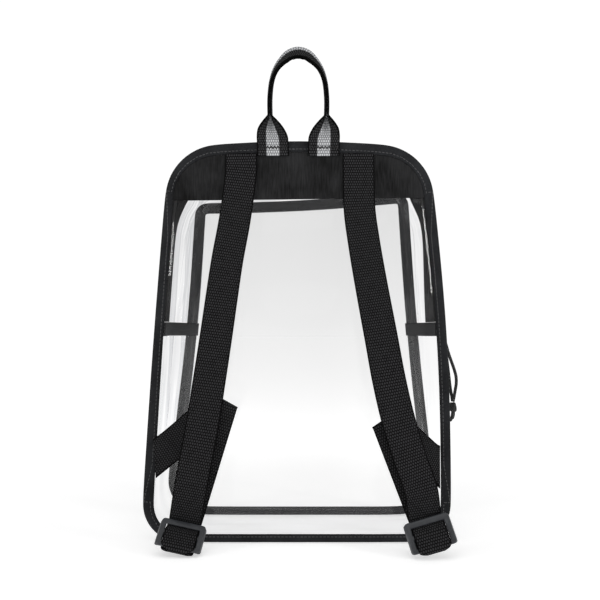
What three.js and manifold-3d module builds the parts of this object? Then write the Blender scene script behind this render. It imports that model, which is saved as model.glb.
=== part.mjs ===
// Clear backpack with black trim, standing upright with its strap side towards -Y.
// X runs across the bag, Y from the strap side to the front side, Z up. Millimetres.
import * as THREE from "three";
import { mergeVertices } from "three/addons/utils/BufferGeometryUtils.js";
import Module from "manifold-3d";

const wasm = await Module();
wasm.setup();

// Sheets and tapes
const gap = 0.3; // kept between pieces that lie against each other
const film = 0.8; // clear sheet
const tape = 1; // binding, zipper and seam tape
const cloth = 1.2; // yoke
const bagDepth = 127; // outer face of the back panel to outer face of the front panel

// The two bound panels. left and right give the distance of each side from the middle at the floor (base) and
// at the top edge (shoulder), before the corners are rounded, and how far the side swells (bow). crown lifts
// the middle of the top edge or, below zero, lets it sag, and slope is how much higher its right corner is than its left one. bind holds
// the tape's width on each edge; on the left it also widens by low towards the floor.
const backPanel = {
  face: 0,
  out: -1,
  left: { base: 160.5, shoulder: 131.5, bow: 1 },
  right: { base: 153.5, shoulder: 131.5, bow: 5 },
  height: 398.5,
  slope: 0,
  crown: 3,
  topRadius: 55,
  bottomRadius: 38,
  bulge: 0,
  bind: { left: 8.2, low: 3.2, right: 10.3, top: 11.5, bottom: 8 },
};
const frontPanel = {
  face: bagDepth,
  out: 1,
  left: { base: 156, shoulder: 119.5, bow: -4 },
  right: { base: 157.5, shoulder: 123.5, bow: -3 },
  height: 363.6,
  slope: 13,
  crown: -2.5,
  topRadius: 15,
  bottomRadius: 40,
  bulge: 5,
  bind: { left: 12.5, low: 0, right: 12.5, top: 12.5, bottom: 9.5 },
};
const bindingEdge = 1.2; // rounding of the folded tape's outer edge

// Yoke, seam bars and zipper
const yoke = { drop: 55.5, slope: 3 }; // how far its hem lies under the top edge, and its rise to the right
const seamBar = { height: 214, width: 14 };
const zipper = { tapeWidth: 14, coilWidth: 5.5, coilThick: 2, coilCrown: 0.7, coilLift: 0.1 };
const slider = { above: 11, length: 12, width: 9, thick: 3.4, bailRise: 4, bailWall: 1.4, bailWidth: 3.6 };
// The slider's shield as shares of its width at nose and shoulder, and its bail as a share of its length
const sliderShape = { nose: 0.3, shoulder: 0.2, bail: 0.38 };

// How far the gusset swells from the straight line between the two seams, at shares of its depth.
const gussetSwell = { left: 5, rightTop: 4, rightLow: -2, bottom: 1.5 };
const swellRows = [
  { share: 0.25, swell: 1 },
  { share: 0.5, swell: 0.7 },
  { share: 0.75, swell: 0.25 },
];
const zipperSwell = 0.7; // the part of the swell that is reached at the zipper's middle

// Webbing of the shoulder straps and the handle
const webbing = { width: 31.5, thick: 1.7, selvedge: 1 };

// Slide buckle, and how the webbing passes its three bars
const buckle = { width: 42, length: 29.5, bar: 4.2, side: 4.6, thick: 3.6, corner: 2.6, slotCorner: 1 };
const buckleBevel = 0.2; // as a share of its thickness
const barLoop = { drop: 5, narrowing: 0.5 }; // the webbing's turn under the lowest bar

// Each shoulder strap: top is how far its middle lies from the bag's at the top seam, spread how much further
// out the slide lies, reach how far the slide lies in front of the back panel and floorGap the height of the
// webbing's loop over the floor. leanAngle turns the slide in the plane of the panel, and pitchAngle tips its
// foot forward. The fold and the side seam are given by their middle points.
const strapLeft = {
  side: -1,
  top: 58.6,
  spread: 53.9,
  reach: 47,
  floorGap: 0.9,
  leanAngle: 12.5,
  pitchAngle: 47,
  fold: { x: 74.5, z: 144.5, reach: 34.5, angle: 29 },
  seamZ: 84,
};
const strapRight = {
  side: 1,
  top: 58.3,
  spread: 63,
  reach: 59,
  floorGap: 3,
  leanAngle: 16.5,
  pitchAngle: 25,
  fold: { x: 82, z: 128.5, reach: 52, angle: 34 },
  seamZ: 75.5,
};

const seamRun = 0.04; // share of a strap's drop on which it hangs straight down from the top seam
const backRun = { x: 0.5, reach: 0.6, z: 0.55 }; // where the bend of its rear layer lies, fold to side seam

// The front run of each strap, as shares of its drop to the slide, of its spread and of its reach.
strapLeft.run = [
  { drop: 0.17, spread: 0.105, reach: 0.08 },
  { drop: 0.29, spread: 0.245, reach: 0.21 },
  { drop: 0.4, spread: 0.345, reach: 0.37 },
  { drop: 0.5, spread: 0.43, reach: 0.55 },
  { drop: 0.61, spread: 0.53, reach: 0.75 },
  { drop: 0.73, spread: 0.645, reach: 0.93 },
  { drop: 0.86, spread: 0.81, reach: 0.99 },
];
strapRight.run = [
  { drop: 0.155, spread: 0.01, reach: 0.12 },
  { drop: 0.24, spread: 0.065, reach: 0.25 },
  { drop: 0.35, spread: 0.155, reach: 0.47 },
  { drop: 0.5, spread: 0.29, reach: 0.8 },
  { drop: 0.61, spread: 0.395, reach: 0.96 },
  { drop: 0.71, spread: 0.525, reach: 1.02 },
  { drop: 0.81, spread: 0.7, reach: 1.05 },
  { drop: 0.89, spread: 0.86, reach: 1.01 },
];

// Carry handle: legs is the half distance between its legs, rise the height of its crest over the top edge and
// sewn the length of each flat end below that edge, where the legs stand closer by endLegs. crease is the inner radius of the lengthwise fold, which
// takes up at least creaseShare of the width.
const handle = {
  legs: 28.5,
  shift: -1.7,
  rise: 94,
  sewn: 15.5,
  endLegs: 0.98,
  crease: 1.05,
  creaseShare: 0.18,
  setBack: 7,
  crestAngle: 40,
};
const handleRun = [
  { rise: 0, legs: 0.9, fold: 0, roll: 0 },
  { rise: 0.045, legs: 0.915, fold: 16, roll: 0 },
  { rise: 0.116, legs: 0.955, fold: 40, roll: 0 },
  { rise: 0.187, legs: 0.975, fold: 66, roll: 0 },
  { rise: 0.257, legs: 0.99, fold: 87, roll: 0 },
  { rise: 0.45, legs: 1, fold: 87, roll: 0.02 },
  { rise: 0.62, legs: 0.955, fold: 87, roll: 0.12 },
  { rise: 0.76, legs: 0.845, fold: 87, roll: 0.35 },
  { rise: 0.88, legs: 0.645, fold: 87, roll: 0.7 },
  { rise: 0.965, legs: 0.38, fold: 87, roll: 0.93 },
  { rise: 1, legs: 0, fold: 87, roll: 1 },
];

// Cord on the slider, hanging outside the bag: two strands, a knot and two short tails
const cord = { diameter: 3.2, sides: 8, steps: 14, knotWidth: 8.2, knotHeight: 10.5 };
const cordOuter = [
  [138.6, 14, 225.7],
  [141.4, 13.6, 218.5],
  [144.2, 13.1, 209.5],
  [147.6, 12.8, 199.5],
  [151, 12.8, 188],
  [154, 12.8, 179.5],
  [156.6, 12.8, 172],
  [158.3, 12.8, 165.4],
  [158.6, 12.8, 158.4],
  [157.5, 12.9, 151],
  [156.4, 13.4, 144],
  [155.6, 13.8, 139.6],
];
const cordInner = [
  [138.6, 17.6, 225.7],
  [141.2, 17.8, 218.5],
  [143.6, 18.1, 209.5],
  [146.6, 18.2, 199.5],
  [149.2, 18.2, 188],
  [150.8, 18.2, 176],
  [152.2, 18, 164],
  [153.6, 17.8, 152],
  [155, 17.7, 144],
  [155.6, 17.6, 139.6],
];
const knotCentre = [155.8, 15.7, 133.9];
const tailEnds = [
  [152.6, 14, 119.5],
  [155.4, 17.7, 121.5],
];
const tailBend = { along: 0.6, aside: 0.3 }; // share of a tail's length, and of the cord's diameter

const lerp = THREE.MathUtils.lerp;
const radians = THREE.MathUtils.degToRad;
const spaced = (steps) => Array.from({ length: steps + 1 }, (_, i) => i / steps);

// Materials
const clearVinyl = { color: 0xf2f4f5, roughness: 0.08, metalness: 0, transparent: true, opacity: 0.3 };
const blackTape = { color: 0x2b2b2c, roughness: 0.85, metalness: 0 };
const blackCloth = { color: 0x222222, roughness: 0.9, metalness: 0 };
const blackWebbing = { color: 0x1b1b1c, roughness: 0.88, metalness: 0 };
const stripedWebbing = { color: 0x242425, roughness: 0.88, metalness: 0 };
const greyPlastic = { color: 0x3a3d3f, roughness: 0.4, metalness: 0 };
const darkMetal = { color: 0x2c2d2e, roughness: 0.45, metalness: 0.6 };
const cordBlack = { color: 0x1a1a1a, roughness: 0.85, metalness: 0 };

function piece(name, geometry, look) {
  const mesh = new THREE.Mesh(geometry, new THREE.MeshStandardMaterial(look));
  mesh.name = name;
  return mesh;
}

// A closed solid from points and triangles, turned so that its faces point out.
function closedSolid(points, triangles) {
  const a = new THREE.Vector3();
  let volume = 0;
  for (let i = 0; i < triangles.length; i += 3) {
    a.crossVectors(points[triangles[i + 1]], points[triangles[i + 2]]);
    volume += points[triangles[i]].dot(a);
  }
  const facing = volume > 0 ? triangles : triangles.slice().reverse();
  const geometry = new THREE.BufferGeometry().setFromPoints(points);
  geometry.setIndex(facing);
  geometry.computeVertexNormals();
  return geometry;
}

// A skin over a row of sections that all have the same number of points, an even one. A closed row joins its
// last section to its first. An open row gets ends, laced across from each point of one half of the section to
// its opposite in the other half.
function loft(sections, closed = false) {
  const around = sections[0].length;
  const triangles = [];
  const spans = closed ? sections.length : sections.length - 1;
  for (let i = 0; i < spans; i++) {
    const here = i * around;
    const next = ((i + 1) % sections.length) * around;
    for (let j = 0; j < around; j++) {
      const k = (j + 1) % around;
      triangles.push(here + j, here + k, next + k, here + j, next + k, next + j);
    }
  }
  if (!closed) {
    const last = (sections.length - 1) * around;
    for (let i = 0; i < around / 2 - 1; i++) {
      const opposite = around - 1 - i;
      const [p, q, r, t] = [i, i + 1, opposite - 1, opposite];
      triangles.push(p, r, q, p, t, r, last + p, last + q, last + r, last + p, last + r, last + t);
    }
  }
  return closedSolid(sections.flat(), triangles);
}

// Joins closed geometries into one solid.
function joined(...geometries) {
  const solids = geometries.map((geometry) => {
    const bare = new THREE.BufferGeometry().setAttribute("position", geometry.getAttribute("position"));
    bare.setIndex(geometry.index);
    const merged = mergeVertices(bare, 1e-4);
    const mesh = new wasm.Mesh({
      numProp: 3,
      vertProperties: merged.attributes.position.array,
      triVerts: new Uint32Array(merged.index.array),
    });
    return new wasm.Manifold(mesh);
  });
  const made = solids.reduce((a, b) => a.add(b)).getMesh();
  const geometry = new THREE.BufferGeometry();
  geometry.setAttribute("position", new THREE.BufferAttribute(made.vertProperties, 3));
  geometry.setIndex(new THREE.BufferAttribute(made.triVerts, 1));
  geometry.computeVertexNormals();
  return geometry;
}

// Panel outlines
// A corner of an outline, rounded to a radius, as the arc from the edge before it to the edge after it.
function roundedCorner(before, corner, after, radius) {
  const back = before.clone().sub(corner).normalize();
  const on = after.clone().sub(corner).normalize();
  const half = Math.acos(back.dot(on)) / 2;
  const middle = back.clone().add(on).normalize();
  const centre = corner.clone().addScaledVector(middle, radius / Math.sin(half));
  const start = corner.clone().addScaledVector(back, radius / Math.tan(half)).sub(centre).angle();
  const point = (share) => {
    const angle = start + (Math.PI - 2 * half) * share;
    return new THREE.Vector2(Math.cos(angle), Math.sin(angle)).multiplyScalar(radius).add(centre);
  };
  return { point, first: point(0), last: point(1) };
}

// The outer edge of a bound panel, run anticlockwise as seen from the strap side, in X and Z.
function outlineOf(panel) {
  const leftTop = panel.height - panel.slope / 2;
  const rightTop = panel.height + panel.slope / 2;
  const corners = [
    new THREE.Vector2(-panel.left.base, 0),
    new THREE.Vector2(panel.right.base, 0),
    new THREE.Vector2(panel.right.shoulder, rightTop),
    new THREE.Vector2(-panel.left.shoulder, leftTop),
  ];
  const radii = [panel.bottomRadius, panel.bottomRadius, panel.topRadius, panel.topRadius];
  const arcs = corners.map((corner, i) =>
    roundedCorner(corners[(i + 3) % 4], corner, corners[(i + 1) % 4], radii[i]),
  );
  const [lowLeft, lowRight, topRight, topLeft] = arcs;
  const edge = (from, to, bow, share) => {
    const point = from.clone().lerp(to, share);
    return point.addScaledVector(bow, Math.sin(Math.PI * share));
  };
  const rightBow = new THREE.Vector2(panel.right.bow, 0);
  const leftBow = new THREE.Vector2(-panel.left.bow, 0);
  return {
    lowRight: lowRight.point,
    topRight: topRight.point,
    topLeft: topLeft.point,
    lowLeft: lowLeft.point,
    bottom: (share) => lowLeft.last.clone().lerp(lowRight.first, share),
    top: (share) => edge(topRight.last, topLeft.first, new THREE.Vector2(0, panel.crown), share),
    right: (share) => edge(lowRight.last, topRight.first, rightBow, share),
    left: (share) => edge(topLeft.last, lowLeft.first, leftBow, share),
    rightAt: (z) => (z - lowRight.last.y) / (topRight.first.y - lowRight.last.y),
    leftAt: (z) => (topLeft.last.y - z) / (topLeft.last.y - lowLeft.first.y),
  };
}
const outlines = new Map([backPanel, frontPanel].map((panel) => [panel, outlineOf(panel)]));

// Stations along the outlines, each a function of a panel, so that the same station lies on both panels.
const cornerSteps = 6;
const sideSteps = 8;
const halfSideSteps = 5; // above or below the seam bars
const barSteps = 2;
const topSteps = 8;
const bottomSteps = 4;
const stretch = (name, steps) => spaced(steps).map((share) => (panel) => outlines.get(panel)[name](share));
const rightStretch = (from, to, steps) =>
  spaced(steps).map((share) => (panel) => {
    const edge = outlines.get(panel);
    const start = from === null ? 0 : edge.rightAt(from);
    const end = to === null ? 1 : edge.rightAt(to);
    return edge.right(lerp(start, end, share));
  });
const leftStretch = (from, to, steps) =>
  spaced(steps).map((share) => (panel) => {
    const edge = outlines.get(panel);
    const start = from === null ? 0 : edge.leftAt(from);
    const end = to === null ? 1 : edge.leftAt(to);
    return edge.left(lerp(start, end, share));
  });
const chained = (...rows) => rows.flatMap((row, i) => (i ? row.slice(1) : row));
const wholeLoop = chained(
  stretch("bottom", bottomSteps),
  stretch("lowRight", cornerSteps),
  stretch("right", sideSteps),
  stretch("topRight", cornerSteps),
  stretch("top", topSteps),
  stretch("topLeft", cornerSteps),
  stretch("left", sideSteps),
  stretch("lowLeft", cornerSteps),
).slice(0, -1);

// The stations on one panel, each with its outward direction and the tape's width there.
function edgeFrames(panel, stations, closed = false) {
  const points = stations.map((station) => station(panel));
  const count = points.length;
  return points.map((point, i) => {
    const before = points[closed ? (i + count - 1) % count : Math.max(i - 1, 0)];
    const after = points[closed ? (i + 1) % count : Math.min(i + 1, count - 1)];
    const along = after.clone().sub(before).normalize();
    const out = new THREE.Vector2(along.y, -along.x);
    const { left, low, right, top, bottom } = panel.bind;
    const leftHere = left + low * (1 - point.y / panel.height);
    const width = (out.x > 0 ? right : leftHere) * out.x ** 2 + (out.y > 0 ? top : bottom) * out.y ** 2;
    return { panel, point, out, width };
  });
}

// A point at an inset from the outline and a depth into the bag from the panel's outer face.
function inBag({ panel, point, out }, inset, depth) {
  return new THREE.Vector3(
    point.x - out.x * inset,
    panel.face - panel.out * depth,
    point.y - out.y * inset,
  );
}

// Bindings: tape folded over the edges of the panel and the gusset, with a slot that holds both
const slotDepth = film + gap + Math.max(film, tape) + gap;
function binding(panel) {
  const outer = -gap - tape;
  const inner = slotDepth + tape;
  const sections = edgeFrames(panel, wholeLoop, true).map((frame) =>
    [
      [frame.width, outer],
      [bindingEdge, outer],
      [0, outer + bindingEdge],
      [0, inner - bindingEdge],
      [bindingEdge, inner],
      [frame.width, inner],
      [frame.width, slotDepth],
      [tape, slotDepth],
      [tape, -gap],
      [frame.width, -gap],
    ].map(([inset, depth]) => inBag(frame, inset, depth)),
  );
  return loft(sections, true);
}

// Clear panels: a sheet whose edge lies in its binding's slot, swelling out towards its middle
const panelRings = [
  { reach: 0.86, bulge: 0.35 },
  { reach: 0.6, bulge: 0.75 },
  { reach: 0.3, bulge: 0.97 },
];
function clearPanel(panel) {
  const frames = edgeFrames(panel, wholeLoop, true);
  const middle = new THREE.Vector3(0, panel.face, panel.height / 2);
  const faces = [0, film].map((depth) => {
    const seam = frames.map((frame) => inBag(frame, frame.width + gap, depth));
    const rings = panelRings.map(({ reach, bulge }) =>
      seam.map((point) => {
        const y = point.y + panel.out * panel.bulge * bulge;
        return point.clone().lerp(middle, 1 - reach).setY(y);
      }),
    );
    const centre = middle.clone().setY(panel.face + panel.out * (panel.bulge - depth));
    return [frames.map((frame) => inBag(frame, tape + gap, depth)), seam, ...rings, [centre]];
  });
  const outside = faces[0].slice().reverse();
  const points = [...outside, ...faces[1]].flat();
  const count = frames.length;
  const rows = points.length / count;
  const last = points.length - 1;
  const triangles = [];
  const rowStart = (row) => 1 + row * count;
  for (let i = 0; i < count; i++) {
    const k = (i + 1) % count;
    triangles.push(0, rowStart(0) + k, rowStart(0) + i);
    for (let row = 0; row < Math.floor(rows) - 1; row++) {
      const here = rowStart(row);
      const next = rowStart(row + 1);
      triangles.push(here + i, here + k, next + k, here + i, next + k, next + i);
    }
    const end = rowStart(Math.floor(rows) - 1);
    triangles.push(last, end + i, end + k);
  }
  return closedSolid(points, triangles);
}

// Gusset between the two seams. At each seam its edge turns out into the binding, and its wall stands square
// to the panel until it has passed the binding's inner fold.
const lipDepth = film + gap;
const footDepth = slotDepth + tape + gap;
const wallDepth = bagDepth - 2 * lipDepth;
const footShare = (footDepth - lipDepth) / wallDepth;

// Zipper, between the back seam and the clear strip, as shares of the wall's depth
const tapeEnd = zipper.tapeWidth / wallDepth;
const chainStart = tapeEnd + gap / wallDepth;
const chainEnd = chainStart + zipper.tapeWidth / wallDepth;
const clearStart = chainEnd + gap / wallDepth;
const chainMiddle = (tapeEnd + chainStart) / 2;

const swellProfile = [
  { share: footShare, swell: 0 },
  { share: chainMiddle, swell: zipperSwell },
  ...swellRows,
  { share: 1 - footShare, swell: 0 },
];
function swellAt(share) {
  const next = swellProfile.findIndex((row) => row.share >= share);
  if (next <= 0) return 0;
  const [a, b] = [swellProfile[next - 1], swellProfile[next]];
  return lerp(a.swell, b.swell, (share - a.share) / (b.share - a.share));
}
function swellOf({ point, out }) {
  const rise = THREE.MathUtils.smoothstep(point.y, seamBar.height, backPanel.height - backPanel.topRadius);
  const right = lerp(gussetSwell.rightLow, gussetSwell.rightTop, rise);
  const side = out.x > 0 ? right : gussetSwell.left;
  return side * out.x ** 2 + (out.y > 0 ? gussetSwell.left : gussetSwell.bottom) * out.y ** 2;
}

// A point on the gusset's wall: share runs from the back seam to the front one, sunk is the depth under its
// outer face, and a negative value stands proud of it.
function onWall(backFrame, frontFrame, share, sunk) {
  const from = inBag(backFrame, backFrame.width + gap + sunk, footDepth);
  const to = inBag(frontFrame, frontFrame.width + gap + sunk, footDepth);
  const out = new THREE.Vector3(backFrame.out.x, 0, backFrame.out.y);
  const across = THREE.MathUtils.clamp((share - footShare) / (1 - 2 * footShare), 0, 1);
  const point = from.lerp(to, across).addScaledVector(out, swellOf(backFrame) * swellAt(share));
  return point.setY(lipDepth + share * wallDepth);
}

// A strip of gusset along some stations, from one share of the depth to another. Where it reaches a seam its
// edge turns out into the binding.
function gussetStrip(stations, from, to, thick, steps) {
  const backs = edgeFrames(backPanel, stations);
  const fronts = edgeFrames(frontPanel, stations);
  const shares = spaced(steps).map((share) => lerp(from, to, share));
  if (from === 0) shares.splice(1, 0, footShare);
  if (to === 1) shares.splice(-1, 0, 1 - footShare);
  const lip = (frame, depth) => inBag(frame, tape + gap, depth);
  const turned = (share) => (share === 0 ? 1 : share === 1 ? -1 : 0);
  const sections = backs.map((back, i) => {
    const front = fronts[i];
    const outer = shares.map((share) => {
      const point = onWall(back, front, share, 0);
      point.y += turned(share) * thick;
      return point;
    });
    const inner = shares.map((share) => onWall(back, front, share, thick));
    const lips = (depth, wall) => [
      ...(from === 0 ? [lip(back, depth)] : []),
      ...wall,
      ...(to === 1 ? [lip(front, depth)] : []),
    ];
    return [...lips(lipDepth + thick, outer), ...lips(lipDepth, inner).reverse()];
  });
  return loft(sections);
}

const barTop = seamBar.height + seamBar.width / 2;
const barBottom = seamBar.height - seamBar.width / 2;
const upperStations = chained(
  rightStretch(barTop + gap, null, halfSideSteps),
  stretch("topRight", cornerSteps),
  stretch("top", topSteps),
  stretch("topLeft", cornerSteps),
  leftStretch(null, barTop + gap, halfSideSteps),
);
const lowerStations = chained(
  leftStretch(barBottom - gap, null, halfSideSteps),
  stretch("lowLeft", cornerSteps),
  stretch("bottom", bottomSteps),
  stretch("lowRight", cornerSteps),
  rightStretch(null, barBottom - gap, halfSideSteps),
);

// Zipper coil, over the slit between the two tapes
function zipperCoil() {
  const end = barTop + slider.above + slider.length / 2 + gap;
  const stations = chained(
    rightStretch(end, null, halfSideSteps),
    stretch("topRight", cornerSteps),
    stretch("top", topSteps),
    stretch("topLeft", cornerSteps),
    leftStretch(null, barTop + gap, halfSideSteps),
  );
  const backs = edgeFrames(backPanel, stations);
  const fronts = edgeFrames(frontPanel, stations);
  const half = zipper.coilWidth / 2;
  const profile = [
    [-half, zipper.coilLift],
    [-half * zipper.coilCrown, zipper.coilThick],
    [half * zipper.coilCrown, zipper.coilThick],
    [half, zipper.coilLift],
  ];
  const sections = backs.map((back, i) =>
    profile.map(([across, up]) => onWall(back, fronts[i], chainMiddle + across / wallDepth, -gap - up)),
  );
  return loft(sections);
}

// Where the slider sits: the wall's outer face at the zipper's middle on the right side, as the slider's own
// X across the tape, Y along it and Z away from it
function sliderSeat() {
  const half = slider.length / 2;
  const stations = rightStretch(barTop + slider.above - half, barTop + slider.above + half, 2);
  const backs = edgeFrames(backPanel, stations);
  const fronts = edgeFrames(frontPanel, stations);
  const reach = slider.width / 2 / wallDepth;
  const wall = (i, share) => onWall(backs[i], fronts[i], share, -gap);
  const across = wall(1, chainMiddle + reach).sub(wall(1, chainMiddle - reach)).normalize();
  const along = wall(2, chainMiddle).sub(wall(0, chainMiddle)).normalize();
  const out = across.clone().cross(along).normalize();
  const at = wall(1, chainMiddle).addScaledVector(out, gap);
  return new THREE.Matrix4().makeBasis(across, out.clone().cross(across), out).setPosition(at);
}

function sliderBody() {
  const { length, width, thick, bailRise, bailWall, bailWidth } = slider;
  const { nose, shoulder, bail: bailShare } = sliderShape;
  const shield = new THREE.Shape();
  shield.moveTo(-width * nose, -length / 2);
  shield.lineTo(width * nose, -length / 2);
  shield.quadraticCurveTo(width / 2, -length * shoulder, width / 2, length * shoulder);
  shield.quadraticCurveTo(width / 2, length / 2, width * shoulder, length / 2);
  shield.lineTo(-width * shoulder, length / 2);
  shield.quadraticCurveTo(-width / 2, length / 2, -width / 2, length * shoulder);
  shield.quadraticCurveTo(-width / 2, -length * shoulder, -width * nose, -length / 2);
  const body = new THREE.ExtrudeGeometry(shield, { depth: thick, bevelEnabled: false, curveSegments: 4 });
  const half = length * bailShare;
  const arch = new THREE.Shape();
  arch.moveTo(-half, -thick / 2);
  arch.lineTo(-half + bailWall, -thick / 2);
  arch.lineTo(-half + bailWall, bailRise * 0.4);
  arch.quadraticCurveTo(-half + bailWall, bailRise - bailWall, 0, bailRise - bailWall);
  arch.quadraticCurveTo(half - bailWall, bailRise - bailWall, half - bailWall, bailRise * 0.4);
  arch.lineTo(half - bailWall, -thick / 2);
  arch.lineTo(half, -thick / 2);
  arch.lineTo(half, bailRise * 0.5);
  arch.quadraticCurveTo(half, bailRise, 0, bailRise);
  arch.quadraticCurveTo(-half, bailRise, -half, bailRise * 0.5);
  arch.lineTo(-half, -thick / 2);
  const bail = new THREE.ExtrudeGeometry(arch, { depth: bailWidth, bevelEnabled: false, curveSegments: 4 });
  bail.translate(0, 0, -bailWidth / 2);
  bail.rotateY(Math.PI / 2);
  bail.rotateX(Math.PI / 2);
  bail.translate(0, 0, thick);
  return joined(body, bail);
}

// Yoke: woven cloth over the top of the back panel, inside the binding and above a straight hem
function yokeCloth() {
  const stations = chained(
    rightStretch(barTop, null, halfSideSteps),
    stretch("topRight", cornerSteps),
    stretch("top", topSteps),
    stretch("topLeft", cornerSteps),
    leftStretch(null, barTop, halfSideSteps),
  );
  const rim = edgeFrames(backPanel, stations).map((frame) => inBag(frame, frame.width + gap, 0));
  const fall = yoke.slope / (backPanel.left.shoulder + backPanel.right.shoulder);
  const overHem = ({ x, z }) => z - (backPanel.height - yoke.drop + fall * x);
  const outline = rim.flatMap((point, i) => {
    const before = rim.at(i - 1);
    const [here, there] = [overHem(point), overHem(before)];
    const crossing = here * there < 0 ? [before.clone().lerp(point, there / (there - here))] : [];
    return here >= 0 ? [...crossing, point] : crossing;
  });
  const sections = [-gap, -gap - cloth].map((y) =>
    outline.map(({ x, z }) => new THREE.Vector3(x, y, z)),
  );
  return loft(sections);
}

// Webbing: a flat band along stations, each a middle point, a half-width vector and a direction of travel
function band(stations, thick) {
  const ridge = (webbing.width / 2 - webbing.selvedge) / (webbing.width / 2);
  const profile = [
    [-1, 0],
    [-ridge, 0.5],
    [ridge, 0.5],
    [1, 0],
    [ridge, -0.5],
    [-ridge, -0.5],
  ];
  const sections = stations.map(({ at, half, along }) => {
    const up = along.clone().cross(half).normalize();
    return profile.map(([w, n]) =>
      at.clone().addScaledVector(half, w).addScaledVector(up, n * thick),
    );
  });
  return loft(sections);
}

// The half-width vector of webbing that travels along a direction and keeps its flat side to the strap side
function acrossOf(along, sign) {
  return new THREE.Vector3(-along.z, 0, along.x).setLength((sign * webbing.width) / 2);
}
// The same, cut along another direction in its plane
function mitredOf(along, cut) {
  const flat = new THREE.Vector3(along.x, 0, along.z).normalize();
  const sine = Math.abs(flat.x * cut.z - flat.z * cut.x);
  return cut.clone().setLength(webbing.width / 2 / sine);
}

// The slide buckle's own axes: X along its bars, Y up the strap and Z towards the strap side
const barClearance = buckle.thick / 2 + gap + webbing.thick / 2;
const lowBar = -(buckle.length - buckle.bar) / 2;
const topBarFoot = -lowBar - buckle.bar / 2;
const backLayer = -(barClearance + webbing.thick + 2 * gap);
function buckleAxes(strap) {
  const { side } = strap;
  const roll = radians(strap.leanAngle);
  const pitch = radians(strap.pitchAngle);
  const bars = new THREE.Vector3(Math.cos(roll), 0, side * Math.sin(roll));
  const up = new THREE.Vector3(
    -Math.cos(pitch) * side * Math.sin(roll),
    Math.sin(pitch),
    Math.cos(pitch) * Math.cos(roll),
  );
  return { bars, up, face: bars.clone().cross(up) };
}

// The webbing's middle line round the bars, in the buckle's own Y and Z, with the share of its width there
function roundBars() {
  const middle = (barClearance + backLayer) / 2;
  const radius = (barClearance - backLayer) / 2;
  const loop = spaced(6).map((share) => {
    const angle = Math.PI * share;
    const down = barLoop.drop * Math.sin(angle);
    const widthShare = 1 - barLoop.narrowing * Math.sin(angle) ** 3;
    return [lowBar - down, middle + radius * Math.cos(angle), widthShare];
  });
  return [
    [-lowBar + buckle.bar, -barClearance, 1],
    [topBarFoot, -barClearance, 1],
    [buckle.bar / 2, barClearance, 1],
    [-buckle.bar / 2, barClearance, 1],
    ...loop,
    [0, backLayer, 1],
    [-lowBar + buckle.bar, backLayer, 1],
  ];
}

function buckleCentre(strap) {
  const axes = buckleAxes(strap);
  const slant = (webbing.width / 2) * Math.sin(radians(strap.leanAngle));
  const lowest = Math.min(
    ...roundBars().map(([y, z, share]) => y * axes.up.z + z * axes.face.z - share * slant),
  );
  return new THREE.Vector3(
    strap.side * (strap.top + strap.spread),
    -strap.reach,
    strap.floorGap + webbing.thick / 2 - lowest,
  );
}

// The height of the back binding's inner edge above a place on the top edge
function topSeam(x) {
  const frames = edgeFrames(backPanel, stretch("top", topSteps * 4));
  const inner = frames.map((frame) => inBag(frame, frame.width + gap, 0));
  const near = inner.reduce((a, b) => (Math.abs(b.x - x) < Math.abs(a.x - x) ? b : a));
  return near.z;
}
// The place on the back binding's inner edge at a height on one side, with the edge's direction there
function sideSeam(side, z) {
  const row = side > 0 ? rightStretch(z - 1, z + 1, 2) : leftStretch(z + 1, z - 1, 2);
  const frame = edgeFrames(backPanel, row)[1];
  const edge = new THREE.Vector3(-frame.out.y, 0, frame.out.x);
  return { at: inBag(frame, frame.width + gap, 0), edge };
}

const strapLayer = -(gap + cloth + gap + webbing.thick / 2); // webbing on the yoke
const filmLayer = -(gap + webbing.thick / 2); // webbing on the clear panel

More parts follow.
